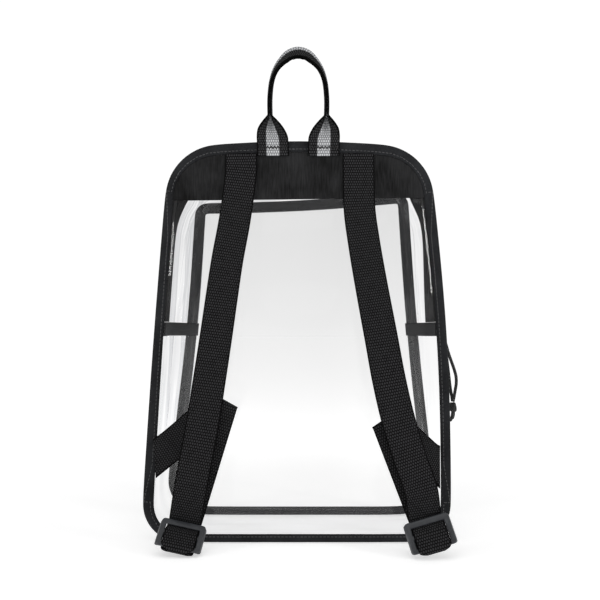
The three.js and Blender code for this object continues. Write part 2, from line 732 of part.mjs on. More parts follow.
function shoulderStrap(strap) {
  const { side, fold } = strap;
  const centre = buckleCentre(strap);
  const axes = buckleAxes(strap);
  const inBuckle = ([y, z]) =>
    centre.clone().addScaledVector(axes.up, y).addScaledVector(axes.face, z);
  const barPath = roundBars();

  const topZ = topSeam(side * strap.top);
  const start = new THREE.Vector3(side * strap.top, strapLayer, topZ);
  const drop = topZ - centre.z;
  const frontRun = strap.run.map(
    (row) =>
      new THREE.Vector3(
        side * (strap.top + row.spread * strap.spread),
        strapLayer - row.reach * (strap.reach + strapLayer),
        topZ - row.drop * drop,
      ),
  );
  const belowSeam = start.clone().add(new THREE.Vector3(0, 0, -seamRun * drop));
  const frontCurve = new THREE.CatmullRomCurve3(
    [start, belowSeam, ...frontRun, inBuckle(barPath[0])],
    false,
    "centripetal",
  );
  const stations = spaced(18)
    .slice(0, -1)
    .map((share) => {
      const along = frontCurve.getTangentAt(share);
      return { at: frontCurve.getPointAt(share), along, half: acrossOf(along, 1) };
    });

  const bars = axes.bars.clone().multiplyScalar(webbing.width / 2);
  barPath.forEach(([y, z, share], i) => {
    const [before, after] = [barPath[Math.max(i - 1, 0)], barPath[Math.min(i + 1, barPath.length - 1)]];
    const along = inBuckle(after).sub(inBuckle(before)).normalize();
    stations.push({ at: inBuckle([y, z]), along, half: bars.clone().multiplyScalar(share) });
  });

  const cut = new THREE.Vector3(Math.cos(radians(fold.angle)), 0, side * Math.sin(radians(fold.angle)));
  const foldAt = new THREE.Vector3(side * fold.x, -fold.reach, fold.z);
  const leave = inBuckle(barPath.at(-1));
  const upDirection = foldAt.clone().sub(leave).normalize();
  for (const share of [0.25, 0.5, 0.75, 0.9]) {
    stations.push({
      at: leave.clone().lerp(foldAt, share),
      along: upDirection,
      half: acrossOf(upDirection, -1),
    });
  }

  const radius = (webbing.thick + gap) / 2;
  const seam = sideSeam(side, strap.seamZ);
  const seamAt = seam.at.clone().setY(filmLayer);
  const behind = foldAt.clone().add(new THREE.Vector3(0, 2 * radius, 0));
  const downDirection = seamAt.clone().sub(behind).normalize();
  const beyond = new THREE.Vector3(-cut.z, 0, cut.x);
  for (const share of spaced(4)) {
    const angle = Math.PI * share;
    const at = foldAt.clone().addScaledVector(beyond, radius * Math.sin(angle));
    at.y += radius * (1 - Math.cos(angle));
    const along = beyond.clone().multiplyScalar(Math.cos(angle));
    along.y += Math.sin(angle);
    stations.push({ at, along, half: mitredOf(upDirection, cut) });
  }
  const onWay = new THREE.Vector3(
    lerp(behind.x, seamAt.x, backRun.x),
    lerp(behind.y, seamAt.y, backRun.reach),
    lerp(behind.z, seamAt.z, backRun.z),
  );
  const backCurve = new THREE.QuadraticBezierCurve3(behind, onWay, seamAt);
  for (const share of [0.18, 0.36, 0.54, 0.72]) {
    const along = backCurve.getTangent(share);
    const half = acrossOf(along, 1);
    if (half.dot(cut) < 0) half.negate();
    stations.push({ at: backCurve.getPoint(share), along, half });
  }
  const lastHalf = mitredOf(downDirection, seam.edge);
  if (lastHalf.dot(cut) < 0) lastHalf.negate();
  stations.push({ at: seamAt, along: downDirection, half: lastHalf });
  return band(stations, webbing.thick);
}

function slideBuckle() {
  const { width, length, bar, side, thick, corner, slotCorner } = buckle;
  const rounded = (path, halfWide, low, high, radius) => {
    path.moveTo(-halfWide + radius, low);
    path.lineTo(halfWide - radius, low);
    path.quadraticCurveTo(halfWide, low, halfWide, low + radius);
    path.lineTo(halfWide, high - radius);
    path.quadraticCurveTo(halfWide, high, halfWide - radius, high);
    path.lineTo(-halfWide + radius, high);
    path.quadraticCurveTo(-halfWide, high, -halfWide, high - radius);
    path.lineTo(-halfWide, low + radius);
    path.quadraticCurveTo(-halfWide, low, -halfWide + radius, low);
    return path;
  };
  const bevel = thick * buckleBevel;
  const halfLength = length / 2 - bevel;
  const outline = rounded(new THREE.Shape(), width / 2 - bevel, -halfLength, halfLength, corner);
  const inner = width / 2 - side + bevel;
  const slot = (low, high) => rounded(new THREE.Path(), inner, low - bevel, high + bevel, slotCorner);
  outline.holes.push(slot(bar / 2, length / 2 - bar), slot(-length / 2 + bar, -bar / 2));
  const geometry = new THREE.ExtrudeGeometry(outline, {
    depth: thick - 2 * bevel,
    bevelThickness: bevel,
    bevelSize: bevel,
    bevelSegments: 1,
    curveSegments: 3,
  });
  geometry.translate(0, 0, -thick / 2 + bevel);
  return geometry;
}

// Carry handle: webbing that is flat where it is sewn and folded lengthwise over the rest
function foldedSection(fold) {
  const half = webbing.width / 2;
  const mid = handle.crease + webbing.thick / 2;
  const turn = radians(Math.max(fold, 1));
  const radius = Math.max(mid, (half * handle.creaseShare) / turn);
  const bend = radius * turn;
  const flank = half - bend;
  const flanks = [0.5, 1].map((share) => [
    radius * Math.sin(turn) + flank * share * Math.cos(turn),
    -radius * (1 - Math.cos(turn)) - flank * share * Math.sin(turn),
    turn,
  ]);
  const bends = [0.5, 1].map((share) => [
    radius * Math.sin(turn * share),
    -radius * (1 - Math.cos(turn * share)),
    turn * share,
  ]);
  const right = [...bends, ...flanks];
  const left = right.map(([x, y, angle]) => [-x, y, -angle]).reverse();
  const line = [...left, [0, 0, 0], ...right];
  const shifted = (by) =>
    line.map(([x, y, angle]) => new THREE.Vector2(x + by * Math.sin(angle), y + by * Math.cos(angle)));
  return [...shifted(webbing.thick / 2), ...shifted(-webbing.thick / 2).reverse()];
}

function carryHandle() {
  const topEdge = backPanel.height + backPanel.crown;
  const rows = [
    { rise: -handle.sewn / handle.rise, legs: handleRun[0].legs * handle.endLegs, fold: 0, roll: 0 },
    ...handleRun,
  ];
  const side = (sign) =>
    rows.map(({ rise, legs, fold, roll }) => ({
      rise,
      at: new THREE.Vector3(
        handle.shift + sign * legs * handle.legs,
        strapLayer + handle.setBack * Math.sin(radians(fold)),
        topEdge + rise * handle.rise,
      ),
      fold,
      roll,
    }));
  const whole = [...side(-1), ...side(1).reverse().slice(1)];
  const curve = new THREE.CatmullRomCurve3(
    whole.map((row) => row.at),
    false,
    "centripetal",
  );
  const count = (whole.length - 1) * 2;
  const back = new THREE.Vector3(0, 1, 0);
  const sections = spaced(count).map((share) => {
    const place = share * (whole.length - 1);
    const row = Math.min(Math.floor(place), whole.length - 2);
    const mix = (key) => lerp(whole[row][key], whole[row + 1][key], place - row);
    const at = curve.getPoint(share);
    const tangent = curve.getTangent(share).setY(0).normalize();
    const upright = new THREE.Vector3(0, 0, Math.sign(tangent.z || 1));
    const along = upright.lerp(tangent, THREE.MathUtils.smoothstep(mix("rise"), 0.2, 0.5)).normalize();
    const outward = back.clone().cross(along).negate();
    const roll = radians(handle.crestAngle * mix("roll"));
    const deep = back.clone().multiplyScalar(Math.cos(roll)).addScaledVector(outward, Math.sin(roll));
    const wide = deep.clone().cross(along).negate();
    return foldedSection(mix("fold")).map((point) =>
      at.clone().addScaledVector(wide, point.x).addScaledVector(deep, point.y),
    );
  });
  return loft(sections);
}

// Cord: a tube along hand-placed points
function tube(points, steps) {
  const path = new THREE.CatmullRomCurve3(
    points.map((point) => new THREE.Vector3(...point)),
    false,
    "centripetal",
  );
  const ring = new THREE.Shape();
  spaced(cord.sides).forEach((share, i) => {
    const angle = 2 * Math.PI * share;
    const [x, y] = [(cord.diameter / 2) * Math.cos(angle), (cord.diameter / 2) * Math.sin(angle)];
    if (i === 0) ring.moveTo(x, y);
    else if (i < cord.sides) ring.lineTo(x, y);
  });
  ring.closePath();
  return new THREE.ExtrudeGeometry(ring, { extrudePath: path, steps, bevelEnabled: false });
}

function knotWithTails() {
  const ball = new THREE.SphereGeometry(1, 10, 7);
  ball.scale(cord.knotWidth / 2, cord.knotWidth / 2, cord.knotHeight / 2);
  ball.translate(...knotCentre);
  const tails = tailEnds.map((end) => {
    const start = new THREE.Vector3(...knotCentre);
    const bend = start.clone().lerp(new THREE.Vector3(...end), tailBend.along);
    bend.x += cord.diameter * tailBend.aside;
    return tube([start.toArray(), bend.toArray(), end], 3);
  });
  ball.deleteAttribute("normal");
  ball.deleteAttribute("uv");
  tails.forEach((tail) => {
    tail.deleteAttribute("normal");
    tail.deleteAttribute("uv");
  });
  return joined(ball, ...tails);
}

// Assembly
const backpack = new THREE.Group();

const shell = new THREE.Group();
shell.add(
  piece("back_panel", clearPanel(backPanel), clearVinyl),
  piece("back_yoke", yokeCloth(), blackCloth),
  piece("back_binding", binding(backPanel), blackTape),
  piece("front_panel", clearPanel(frontPanel), clearVinyl),
  piece("front_binding", binding(frontPanel), blackTape),
  piece("lower_gusset", gussetStrip(lowerStations, 0, 1, film, 5), clearVinyl),
  piece("upper_gusset", gussetStrip(upperStations, clearStart, 1, film, 4), clearVinyl),
  piece("seam_bar_left", gussetStrip(leftStretch(barTop, barBottom, barSteps), 0, 1, tape, 4), blackTape),
  piece("seam_bar_right", gussetStrip(rightStretch(barBottom, barTop, barSteps), 0, 1, tape, 4), blackTape),
);
backpack.add(shell);

const closure = new THREE.Group();
closure.add(
  piece("zipper_tape_back", gussetStrip(upperStations, 0, tapeEnd, tape, 2), blackTape),
  piece("zipper_tape_front", gussetStrip(upperStations, chainStart, chainEnd, tape, 2), blackTape),
  piece("zipper_coil", zipperCoil(), blackTape),
);
const zipperSlider = piece("zipper_slider", sliderBody(), darkMetal);
zipperSlider.applyMatrix4(sliderSeat());
closure.add(zipperSlider);
backpack.add(closure);

const harness = new THREE.Group();
harness.add(piece("carry_handle", carryHandle(), stripedWebbing));
for (const [name, strap] of [["left", strapLeft], ["right", strapRight]]) {
  harness.add(piece(`shoulder_strap_${name}`, shoulderStrap(strap), blackWebbing));
  const slide = piece(`slide_buckle_${name}`, slideBuckle(), greyPlastic);
  const { bars, up, face } = buckleAxes(strap);
  slide.position.copy(buckleCentre(strap));
  slide.setRotationFromMatrix(new THREE.Matrix4().makeBasis(bars, up, face));
  harness.add(slide);
}
backpack.add(harness);

// The origin is under the middle of the bag's box, on the floor, with the cord left out of the count.
const box = new THREE.Box3().setFromObject(backpack, true);
const middle = box.getCenter(new THREE.Vector3());

const pull = new THREE.Group();
pull.add(
  piece("pull_cord_outer", tube(cordOuter, cord.steps), cordBlack),
  piece("pull_cord_inner", tube(cordInner, cord.steps), cordBlack),
  piece("pull_knot", knotWithTails(), cordBlack),
);
backpack.add(pull);
backpack.position.set(-middle.x, -middle.y, -box.min.z);

const model = new THREE.Group();
model.add(backpack);
export default model;
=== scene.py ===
import bpy
import bmesh
import math
from mathutils import Matrix, Vector, noise


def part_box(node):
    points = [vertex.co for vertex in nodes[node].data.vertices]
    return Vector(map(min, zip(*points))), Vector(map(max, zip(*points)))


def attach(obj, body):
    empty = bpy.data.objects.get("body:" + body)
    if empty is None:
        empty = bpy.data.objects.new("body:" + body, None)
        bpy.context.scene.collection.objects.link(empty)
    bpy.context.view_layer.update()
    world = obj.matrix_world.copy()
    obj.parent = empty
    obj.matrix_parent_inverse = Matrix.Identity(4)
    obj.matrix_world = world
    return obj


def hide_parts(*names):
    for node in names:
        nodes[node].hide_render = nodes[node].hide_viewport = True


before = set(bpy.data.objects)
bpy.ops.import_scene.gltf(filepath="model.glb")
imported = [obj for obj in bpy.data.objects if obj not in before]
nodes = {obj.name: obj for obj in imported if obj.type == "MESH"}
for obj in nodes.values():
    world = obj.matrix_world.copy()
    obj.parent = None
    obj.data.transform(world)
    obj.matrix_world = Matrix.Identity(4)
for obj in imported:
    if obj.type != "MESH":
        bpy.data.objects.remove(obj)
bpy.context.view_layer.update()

# The bag's own frame: X from its middle, Y from the back panel's outer face, Z from the floor, in mm
mm = 0.001
bagMiddle = 2.04
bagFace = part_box("back_panel")[0].y / mm


def inBag(x, y, z):
    return Vector((x + bagMiddle, y + bagFace, z)) * mm


print("stage: camera, floor and light")
view = {"distance": 850, "height": 214.4, "lens": 51, "lift": 0.0467}
bpy.ops.object.camera_add(location=inBag(0, -view["distance"], view["height"]), rotation=(math.pi / 2, 0, 0))
camera = bpy.context.active_object
camera.name = "studioCamera"
camera.data.lens = view["lens"]
camera.data.sensor_width = 36
camera.data.shift_y = view["lift"]
camera.data.clip_start = 0.05
camera.data.clip_end = 60
bpy.context.scene.camera = camera
bpy.context.scene.view_settings.view_transform = "Standard"


# Small tools

def hexColour(text):
    parts = [int(text[i:i + 2], 16) / 255 for i in (0, 2, 4)]
    return tuple(c / 12.92 if c <= 0.04045 else ((c + 0.055) / 1.055) ** 2.4 for c in parts) + (1.0,)


# A node given for an input stands for its own first output
def setInputs(tree, node, inputs):
    for key, value in inputs.items():
        if isinstance(value, bpy.types.Node):
            value = value.outputs[0]
        if isinstance(value, bpy.types.NodeSocket):
            tree.links.new(value, node.inputs[key])
        else:
            node.inputs[key].default_value = value


def addNode(tree, kind, settings, inputs):
    node = tree.nodes.new("ShaderNode" + kind)
    for key, value in settings.items():
        setattr(node, key, value)
    setInputs(tree, node, inputs)
    return node


def mathNode(tree, operation, *values, **settings):
    return addNode(tree, "Math", {"operation": operation, **settings}, dict(enumerate(values)))


def noiseNode(tree, vector, scale, detail):
    return addNode(tree, "TexNoise", {}, {"Vector": vector, "Scale": scale, "Detail": detail})


def bumpNode(tree, height, strength, depth):
    return addNode(tree, "Bump", {}, {"Height": height, "Strength": strength, "Distance": depth * mm})


def mapRange(tree, value, source, result, **settings):
    ends = dict(zip(("From Min", "From Max", "To Min", "To Max"), (*source, *result)))
    return addNode(tree, "MapRange", settings, {"Value": value, **ends})


def startMaterial(name, values):
    material = bpy.data.materials.new(name)
    material.use_nodes = True
    tree = material.node_tree
    shader = tree.nodes["Principled BSDF"]
    setInputs(tree, shader, values)
    return material, tree, shader


def colourRamp(tree, factor, stops):
    ramp = addNode(tree, "ValToRGB", {}, {"Fac": factor})
    elements = ramp.color_ramp.elements
    while len(elements) < len(stops):
        elements.new(0.5)
    for element, (position, colour) in zip(elements, stops):
        element.position = position
        element.color = hexColour(colour)
    return ramp.outputs["Color"]


def lerp(a, b, share):
    return a + (b - a) * share


def smooth(value, low, high):
    t = min(max((value - low) / (high - low), 0), 1)
    return t * t * (3 - 2 * t)


def pickOnly(piece):
    bpy.ops.object.select_all(action="DESELECT")
    piece.select_set(True)
    bpy.context.view_layer.objects.active = piece


def finishPiece(piece, material, body="root", angle=40):
    pickOnly(piece)
    piece.data.materials.clear()
    piece.data.materials.append(material)
    bpy.ops.object.shade_smooth_by_angle(angle=math.radians(angle))
    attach(piece, body)
    return piece


def editAll():
    bpy.ops.object.mode_set(mode="EDIT")
    bpy.ops.mesh.select_all(action="SELECT")


def endEdit():
    bpy.ops.object.mode_set(mode="OBJECT")


def newPiece(name, mesh):
    piece = bpy.data.objects.new(name, mesh)
    bpy.context.scene.collection.objects.link(piece)
    return piece


# The mesh of a frame's piece as one closed form
def welded(node):
    body = bmesh.new()
    body.from_mesh(nodes[node].data)
    bmesh.ops.remove_doubles(body, verts=body.verts, dist=0.01 * mm)
    return body


def applied(piece, kind, **settings):
    pickOnly(piece)
    modifier = piece.modifiers.new(kind.title(), kind)
    for key, value in settings.items():
        setattr(modifier, key, value)
    bpy.ops.object.modifier_apply(modifier=modifier.name)


def bevelled(piece, width, segments, angle):
    applied(piece, "BEVEL", width=width * mm, segments=segments, limit_method="ANGLE",
            angle_limit=math.radians(angle))


# A grid laid out by a rule that gives each crossing its point and its place on the cloth in mm
def laidGrid(name, columns, rows, place, wrap=False):
    bpy.ops.object.select_all(action="DESELECT")
    bpy.ops.mesh.primitive_grid_add(x_subdivisions=columns, y_subdivisions=rows, size=1, calc_uvs=True)
    piece = bpy.context.active_object
    piece.name = piece.data.name = name
    mesh = piece.data
    spot = [(round((v.co.x + 0.5) * columns), round((v.co.y + 0.5) * rows)) for v in mesh.vertices]
    laid = [place(i, j) for i, j in spot]
    for vertex, (point, across, along) in zip(mesh.vertices, laid):
        vertex.co = point
    cloth = mesh.uv_layers.active.data
    for loop in mesh.loops:
        cloth[loop.index].uv = laid[loop.vertex_index][1:]
    if wrap:
        editAll()
        bpy.ops.mesh.remove_doubles(threshold=0.02 * mm)
        bpy.ops.mesh.select_all(action="DESELECT")
        bpy.ops.mesh.select_non_manifold()
        bpy.ops.mesh.fill_holes(sides=0)
        bpy.ops.mesh.select_all(action="SELECT")
        bpy.ops.mesh.normals_make_consistent(inside=False)
        endEdit()
    return piece


# A curve through points that doesn't swing out at uneven spacing
def curveThrough(points, count):
    ends = [points[0] * 2 - points[1], *points, points[-1] * 2 - points[-2]]
    result = []
    for step in range(count + 1):
        place = step / count * (len(points) - 1)
        i = min(int(place), len(points) - 2)
        t = place - i
        p0, p1, p2, p3 = ends[i:i + 4]
        d0, d1, d2 = [max((b - a).length, 1e-6) ** 0.5 for a, b in ((p0, p1), (p1, p2), (p2, p3))]
        t1 = ((p1 - p0) / d0 - (p2 - p0) / (d0 + d1) + (p2 - p1) / d1) * d1
        t2 = ((p2 - p1) / d1 - (p3 - p1) / (d1 + d2) + (p3 - p2) / d2) * d1
        squared, cubed = t * t, t * t * t
        result.append(p1 * (2 * cubed - 3 * squared + 1) + t1 * (cubed - 2 * squared + t)
                      + p2 * (3 * squared - 2 * cubed) + t2 * (cubed - squared))
    return result


def lengthsAlong(points):
    total = [0.0]
    for a, b in zip(points, points[1:]):
        total.append(total[-1] + (b - a).length)
    return total


def tubeAlong(name, points, radius, sides, swell=None):
    lengths = lengthsAlong(points)
    tangents = [(points[min(i + 1, len(points) - 1)] - points[max(i - 1, 0)]).normalized()
                for i in range(len(points))]
    side = tangents[0].orthogonal().normalized()
    rings = []
    for point, tangent in zip(points, tangents):
        side = (side - tangent * side.dot(tangent)).normalized()
        rings.append((point, side, tangent.cross(side)))

    def place(i, j):
        point, a, b = rings[j]
        turn = 2 * math.pi * (i % sides) / sides
        r = radius * (swell(j / (len(points) - 1)) if swell else 1)
        around = a * math.cos(turn) * r + b * math.sin(turn) * r
        return point + around, 2 * math.pi * radius / mm * i / sides, lengths[j] / mm

    return laidGrid(name, sides, len(points) - 1, place, wrap=True)


# Braided polypropylene cord: plaited strands over a core, matt, with a few pale threads worked in
braidedCord = {"colour": "1b1b1b", "fleck": "77787a", "plait": 1.5, "flecks": 0.75, "roughness": 0.82}


def makeBraid(values):
    material, tree, shader = startMaterial("braidedCord", {"Roughness": values["roughness"], "IOR": 1.49})
    place = addNode(tree, "TexCoord", {}, {})
    plait = addNode(tree, "TexBrick", {"offset": 0.5}, {
        "Vector": place.outputs["UV"], "Scale": 1.0, "Brick Width": values["plait"],
        "Row Height": values["plait"] * 0.62, "Mortar Size": 0.16, "Mortar Smooth": 0.9,
        "Color1": (1, 1, 1, 1), "Color2": (0.8, 0.8, 0.8, 1), "Mortar": (0, 0, 0, 1)})
    fleck = noiseNode(tree, place.outputs["UV"], values["flecks"], 2.0)
    colour = colourRamp(tree, fleck, [
        (0.0, values["colour"]), (0.62, values["colour"]), (0.7, values["fleck"])])
    bump = bumpNode(tree, plait, 0.8, 0.3)
    setInputs(tree, shader, {"Base Color": colour, "Normal": bump})
    return material


print("stage: pull cords")
pullCord = {
    "diameter": 3.2, "sides": 14, "rows": 90,
    "outer": [(138.6, 14, 225.7), (141.4, 13.6, 218.5), (144.2, 13.1, 209.5), (147.6, 12.8, 199.5),
              (151, 12.8, 188), (154, 12.8, 179.5), (156.6, 12.8, 172), (158.3, 12.8, 165.4),
              (158.6, 12.8, 158.4), (157.5, 12.9, 151), (156.4, 13.4, 144), (155.6, 13.8, 139.6)],
    "inner": [(138.6, 17.6, 225.7), (141.2, 17.8, 218.5), (143.6, 18.1, 209.5), (146.6, 18.2, 199.5),
              (149.2, 18.2, 188), (150.8, 18.2, 176), (152.2, 18, 164), (153.6, 17.8, 152),
              (155, 17.7, 144), (155.6, 17.6, 139.6)],
    "knot": (155.8, 15.7, 133.9), "knotHalf": (2.6, 2.5, 3.4), "knotRows": 96, "knotSides": 12,
    "tails": [(152.6, 14, 119.5), (155.4, 17.7, 121.5)], "tailRows": 14,
    "tailBend": {"share": 0.6, "aside": 0.3}, "tailTip": {"from": 0.9, "thinner": 0.45},
}
cordMaterial = makeBraid(braidedCord)


# Two strands tied in an overhand knot, with a short tail each that thins at its cut end
def makeKnot(values):
    centre = inBag(*values["knot"])
    halfX, halfY, halfZ = [v * mm for v in values["knotHalf"]]
    wound = []
    for step in range(values["knotRows"] + 1):
        t = 2 * math.pi * step / values["knotRows"]
        wound.append(centre + Vector((
            halfX * (math.sin(t) + 2 * math.sin(2 * t)) / 3,
            halfY * (math.cos(t) - 2 * math.cos(2 * t)) / 3,
            -halfZ * math.sin(3 * t))))
    radius = values["diameter"] / 2 * mm
    bow, cut = values["tailBend"], values["tailTip"]

    def thin(share):
        return 1 - cut["thinner"] * smooth(share, cut["from"], 1)

    parts = [tubeAlong("knotTurns", wound, radius, values["knotSides"])]
    for end in values["tails"]:
        tip = inBag(*end)
        bend = centre.lerp(tip, bow["share"]) + Vector((values["diameter"] * bow["aside"] * mm, 0, 0))
        line = curveThrough([centre, bend, tip], values["tailRows"])
        parts.append(tubeAlong("knotTail", line, radius, values["knotSides"], swell=thin))
    pickOnly(parts[0])
    for part in parts:
        part.select_set(True)
    bpy.ops.object.join()
    piece = bpy.context.active_object
    piece.name = "pullKnot"
    return finishPiece(piece, cordMaterial, angle=60)


knot = makeKnot(pullCord)
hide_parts("pull_knot")
for strand in ("outer", "inner"):
    route = curveThrough([inBag(*p) for p in pullCord[strand]], pullCord["rows"])
    cordPiece = tubeAlong(
        "pullCord" + strand.title(), route, pullCord["diameter"] / 2 * mm, pullCord["sides"])
    finishPiece(cordPiece, cordMaterial, angle=60)
    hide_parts("pull_cord_" + strand)
    lengthsAlong(route)[-1]


# A white studio. The matt paper glows more away from the bag, so that it meets the backdrop without a line
studio = {
    "floor": "f2f2f2", "away": (0.25, 0.9), "glow": (0.43, 0.64), "room": 0.45, "paper": 1.04,
    "lamps": [
        {"name": "topSoft", "at": (0.0, -0.6, 1.6), "aim": (0, 0, 0.2), "size": (1.5, 1.5), "power": 5},
        {"name": "frontSoft", "at": (0.0, -1.3, 1.25), "aim": (0, 0, 0.2), "size": (1.4, 0.6), "power": 3},
        {"name": "leftStrip", "at": (-1.3, -0.95, 0.3), "aim": (0, 0, 0.3), "size": (0.1, 1.2), "power": 5.5},
        {"name": "rightStrip", "at": (1.3, -0.95, 0.3), "aim": (0, 0, 0.3), "size": (0.1, 1.2), "power": 7.5},
    ],
}


def makeStudio(values):
    bpy.ops.object.select_all(action="DESELECT")
    bpy.ops.mesh.primitive_plane_add(size=40, location=(0, 0, 0))
    floor = bpy.context.active_object
    floor.name = "studioFloor"
    material, tree, shader = startMaterial("studioPaper", {
        "Base Color": hexColour(values["floor"]), "Roughness": 0.9, "Specular IOR Level": 0.1,
        "Emission Color": hexColour("ffffff")})
    place = addNode(tree, "TexCoord", {}, {})
    away = addNode(tree, "VectorMath", {"operation": "LENGTH"}, {0: place.outputs["Object"]})
    glow = mapRange(tree, away.outputs["Value"], values["away"], values["glow"],
                    interpolation_type="SMOOTHSTEP")
    setInputs(tree, shader, {"Emission Strength": glow})
    floor.data.materials.append(material)
    world = bpy.data.worlds.new("studioWorld")
    world.use_nodes = True
    tree = world.node_tree
    ray = addNode(tree, "LightPath", {}, {})
    seen = mapRange(tree, ray.outputs["Is Camera Ray"], (0, 1), (values["room"], values["paper"]))
    setInputs(tree, tree.nodes["Background"], {"Color": hexColour("ffffff"), "Strength": seen})
    bpy.context.scene.world = world
    for lamp in values["lamps"]:
        at, aim = Vector(lamp["at"]), Vector(lamp["aim"])
        turn = (aim - at).to_track_quat("-Z", "Y").to_euler()
        bpy.ops.object.light_add(type="AREA", location=at, rotation=turn)
        light = bpy.context.active_object
        light.name = lamp["name"]
        light.data.shape = "RECTANGLE"
        light.data.size, light.data.size_y = lamp["size"]
        light.data.energy = lamp["power"]


makeStudio(studio)

print("stage: materials")
# Calendered flexible PVC sheet: clear and glossy, with soft waves. Its see-through colour holds painted
# shade, greyer towards the top and in faint bands, that clears up towards the right and the floor, between
# the places in m. It gives back the lamps in long streaks, the more so where it turns its edge to the eye
clearSheet = {"roughness": 0.07, "mirrorTint": "fafafa", "leastMirror": 0.022, "steepness": 4.0,
              "right": (-0.1, 0.12), "foot": (0.1, 0.02)}
# The shade stops are painted shade in the sheet's see-through colour, from low to high up the sheet and
# banded by its waves; the lifts pale that painted shade towards the right and the floor
panelLook = {"waves": (7, 1, 4), "depth": 1.2, "mirror": 0.3, "swing": 0.35, "shadeLiftRight": 0, "shadeLiftFloor": 0,
             "paintedShadeStops": [(0.0, "ffffff"), (0.3, "f8f8f8"), (0.75, "f0f0f0"), (1.0, "ececec")]}
gussetLook = {"waves": (6, 75, 1), "depth": 1.4, "mirror": 0.14, "swing": 1.3,
              "shadeLiftRight": 0.75, "shadeLiftFloor": 0.8,
              "paintedShadeStops": [(0.0, "d4d5d6"), (0.3, "e8e9ea"), (0.45, "f6f6f7"), (0.52, "ffffff"),
                         (0.6, "dcdddf"), (0.8, "f0f0f1"), (1.0, "ffffff")]}


def makeVinyl(name, values, look, heights, layout):
    material, tree, shader = startMaterial(name, {})
    tree.nodes.remove(shader)
    place = addNode(tree, "TexCoord", {}, {})
    wide = addNode(tree, "Mapping", {}, {"Vector": place.outputs[layout], "Scale": look["waves"]})
    waves = addNode(tree, "TexNoise", {}, {
        "Vector": wide, "Scale": 1.0, "Detail": 1.5, "Roughness": 0.4, "Distortion": 0.4})
    bump = bumpNode(tree, waves, 0.6, look["depth"])
    facing = addNode(tree, "LayerWeight", {}, {"Blend": 0.5, "Normal": bump})
    steep = mathNode(tree, "POWER", facing.outputs["Facing"], values["steepness"])
    mirror = mapRange(tree, steep, (0, 1), (values["leastMirror"], look["mirror"]))
    spot = addNode(tree, "SeparateXYZ", {}, {"Vector": place.outputs["Object"]})
    # Painted shade: the see-through colour greys with height and in bands along the waves
    height = mapRange(tree, spot.outputs["Z"], heights, (0, 1))
    swing = mathNode(tree, "MULTIPLY_ADD", waves, look["swing"], -0.5 * look["swing"])
    share = mathNode(tree, "ADD", height, swing, use_clamp=True)
    paintedShadeColour = colourRamp(tree, share, look["paintedShadeStops"])
    # The painted shade lifts towards the right and towards the floor
    shadeLiftToRight = mapRange(tree, spot.outputs["X"], values["right"], (0, look["shadeLiftRight"]))
    shadeLiftToFloor = mapRange(tree, spot.outputs["Z"], values["foot"], (0, look["shadeLiftFloor"]))
    clear = mathNode(tree, "MAXIMUM", shadeLiftToRight, shadeLiftToFloor)
    shadedTint = addNode(tree, "Mix", {"data_type": "RGBA"}, {
        0: clear, 6: paintedShadeColour, 7: hexColour("ffffff")})
    through = addNode(tree, "BsdfTransparent", {}, {"Color": shadedTint.outputs[2]})
    gloss = addNode(tree, "BsdfGlossy", {}, {
        "Color": hexColour(values["mirrorTint"]), "Roughness": values["roughness"],
        "Normal": bump})
    mixed = addNode(tree, "MixShader", {}, {
        "Fac": mirror, 1: through, 2: gloss})
    setInputs(tree, tree.nodes["Material Output"], {"Surface": mixed})
    return material


panelVinyl = makeVinyl("clearSheetPanel", clearSheet, panelLook, (0.02, 0.4), "Object")
gussetVinyl = makeVinyl("clearSheetGusset", clearSheet, gussetLook, (-0.4, 0.8), "UV")

# Polyester grosgrain tape, woven with fine ribs across; a shade paler in soft random patches
bindingTape = {"dark": "111113", "pale": "242527", "thread": 1.3, "roughness": 0.8}
# Plain woven nylon cloth of the yoke, with faint upright ribs
yokeCloth = {"dark": "060606", "pale": "262627", "thread": 1.5, "roughness": 0.85}
# Knitted zipper tape, softer and darker than the binding
zipperTape = {"dark": "121213", "pale": "262627", "thread": 1.2, "roughness": 0.88}
# What the cloths share
weaving = {"patches": 28.0, "threads": 0.6, "darkest": 0.55, "palest": 1.0, "raised": 0.35}


def makeCloth(name, values, axes):
    material, tree, shader = startMaterial(name, {
        "Roughness": values["roughness"], "IOR": 1.5, "Specular IOR Level": 0.14, "Sheen Weight": 0.02,
        "Sheen Roughness": 0.5})
    place = addNode(tree, "TexCoord", {}, {})
    scale = 1 / (values["thread"] * mm)
    threads = addNode(tree, "Mapping", {}, {
        "Vector": place.outputs["Object"], "Scale": tuple(scale * a for a in axes)})
    weave = noiseNode(tree, threads, 1.0, 2.0)
    patches = noiseNode(tree, place.outputs["Object"], weaving["patches"], 4.0)
    mixed = mathNode(tree, "MULTIPLY_ADD", weave, weaving["threads"], patches)
    colour = colourRamp(tree, mixed, [
        (weaving["darkest"], values["dark"]), (weaving["palest"], values["pale"])])
    bump = bumpNode(tree, weave, 0.6, weaving["raised"])
    setInputs(tree, shader, {"Base Color": colour, "Normal": bump})
    return material


tapeMaterial = makeCloth("grosgrainTape", bindingTape, (1, 1, 1))
yokeMaterial = makeCloth("wovenNylon", yokeCloth, (1.2, 1, 0.12))
zipperMaterial = makeCloth("knittedTape", zipperTape, (0.4, 1, 0.4))

# Woven polypropylene webbing: rows of short floats laid like bricks, dull, with painted shade darkening the
# floats along both edges. The rows are drawn a little coarser than the real 2 mm so that they show
webbingWeave = {"dark": "000000", "half": 15.75, "across": 2.3, "along": 2.7, "gap": 0.7, "roughness": 0.8,
                "wear": {"scale": 0.12, "swing": 0.4, "least": 0.5},
                "selvedge": {"inset": (1.6, 0.7), "height": 0.25}}
strapWebbing = {**webbingWeave, "float": "313132"}
handleWebbing = {**webbingWeave, "float": "383839", "stripe": "bfc0c2", "stripeShade": "6a6b6d",
                 "stripeEdge": (6.7, 5.9)}


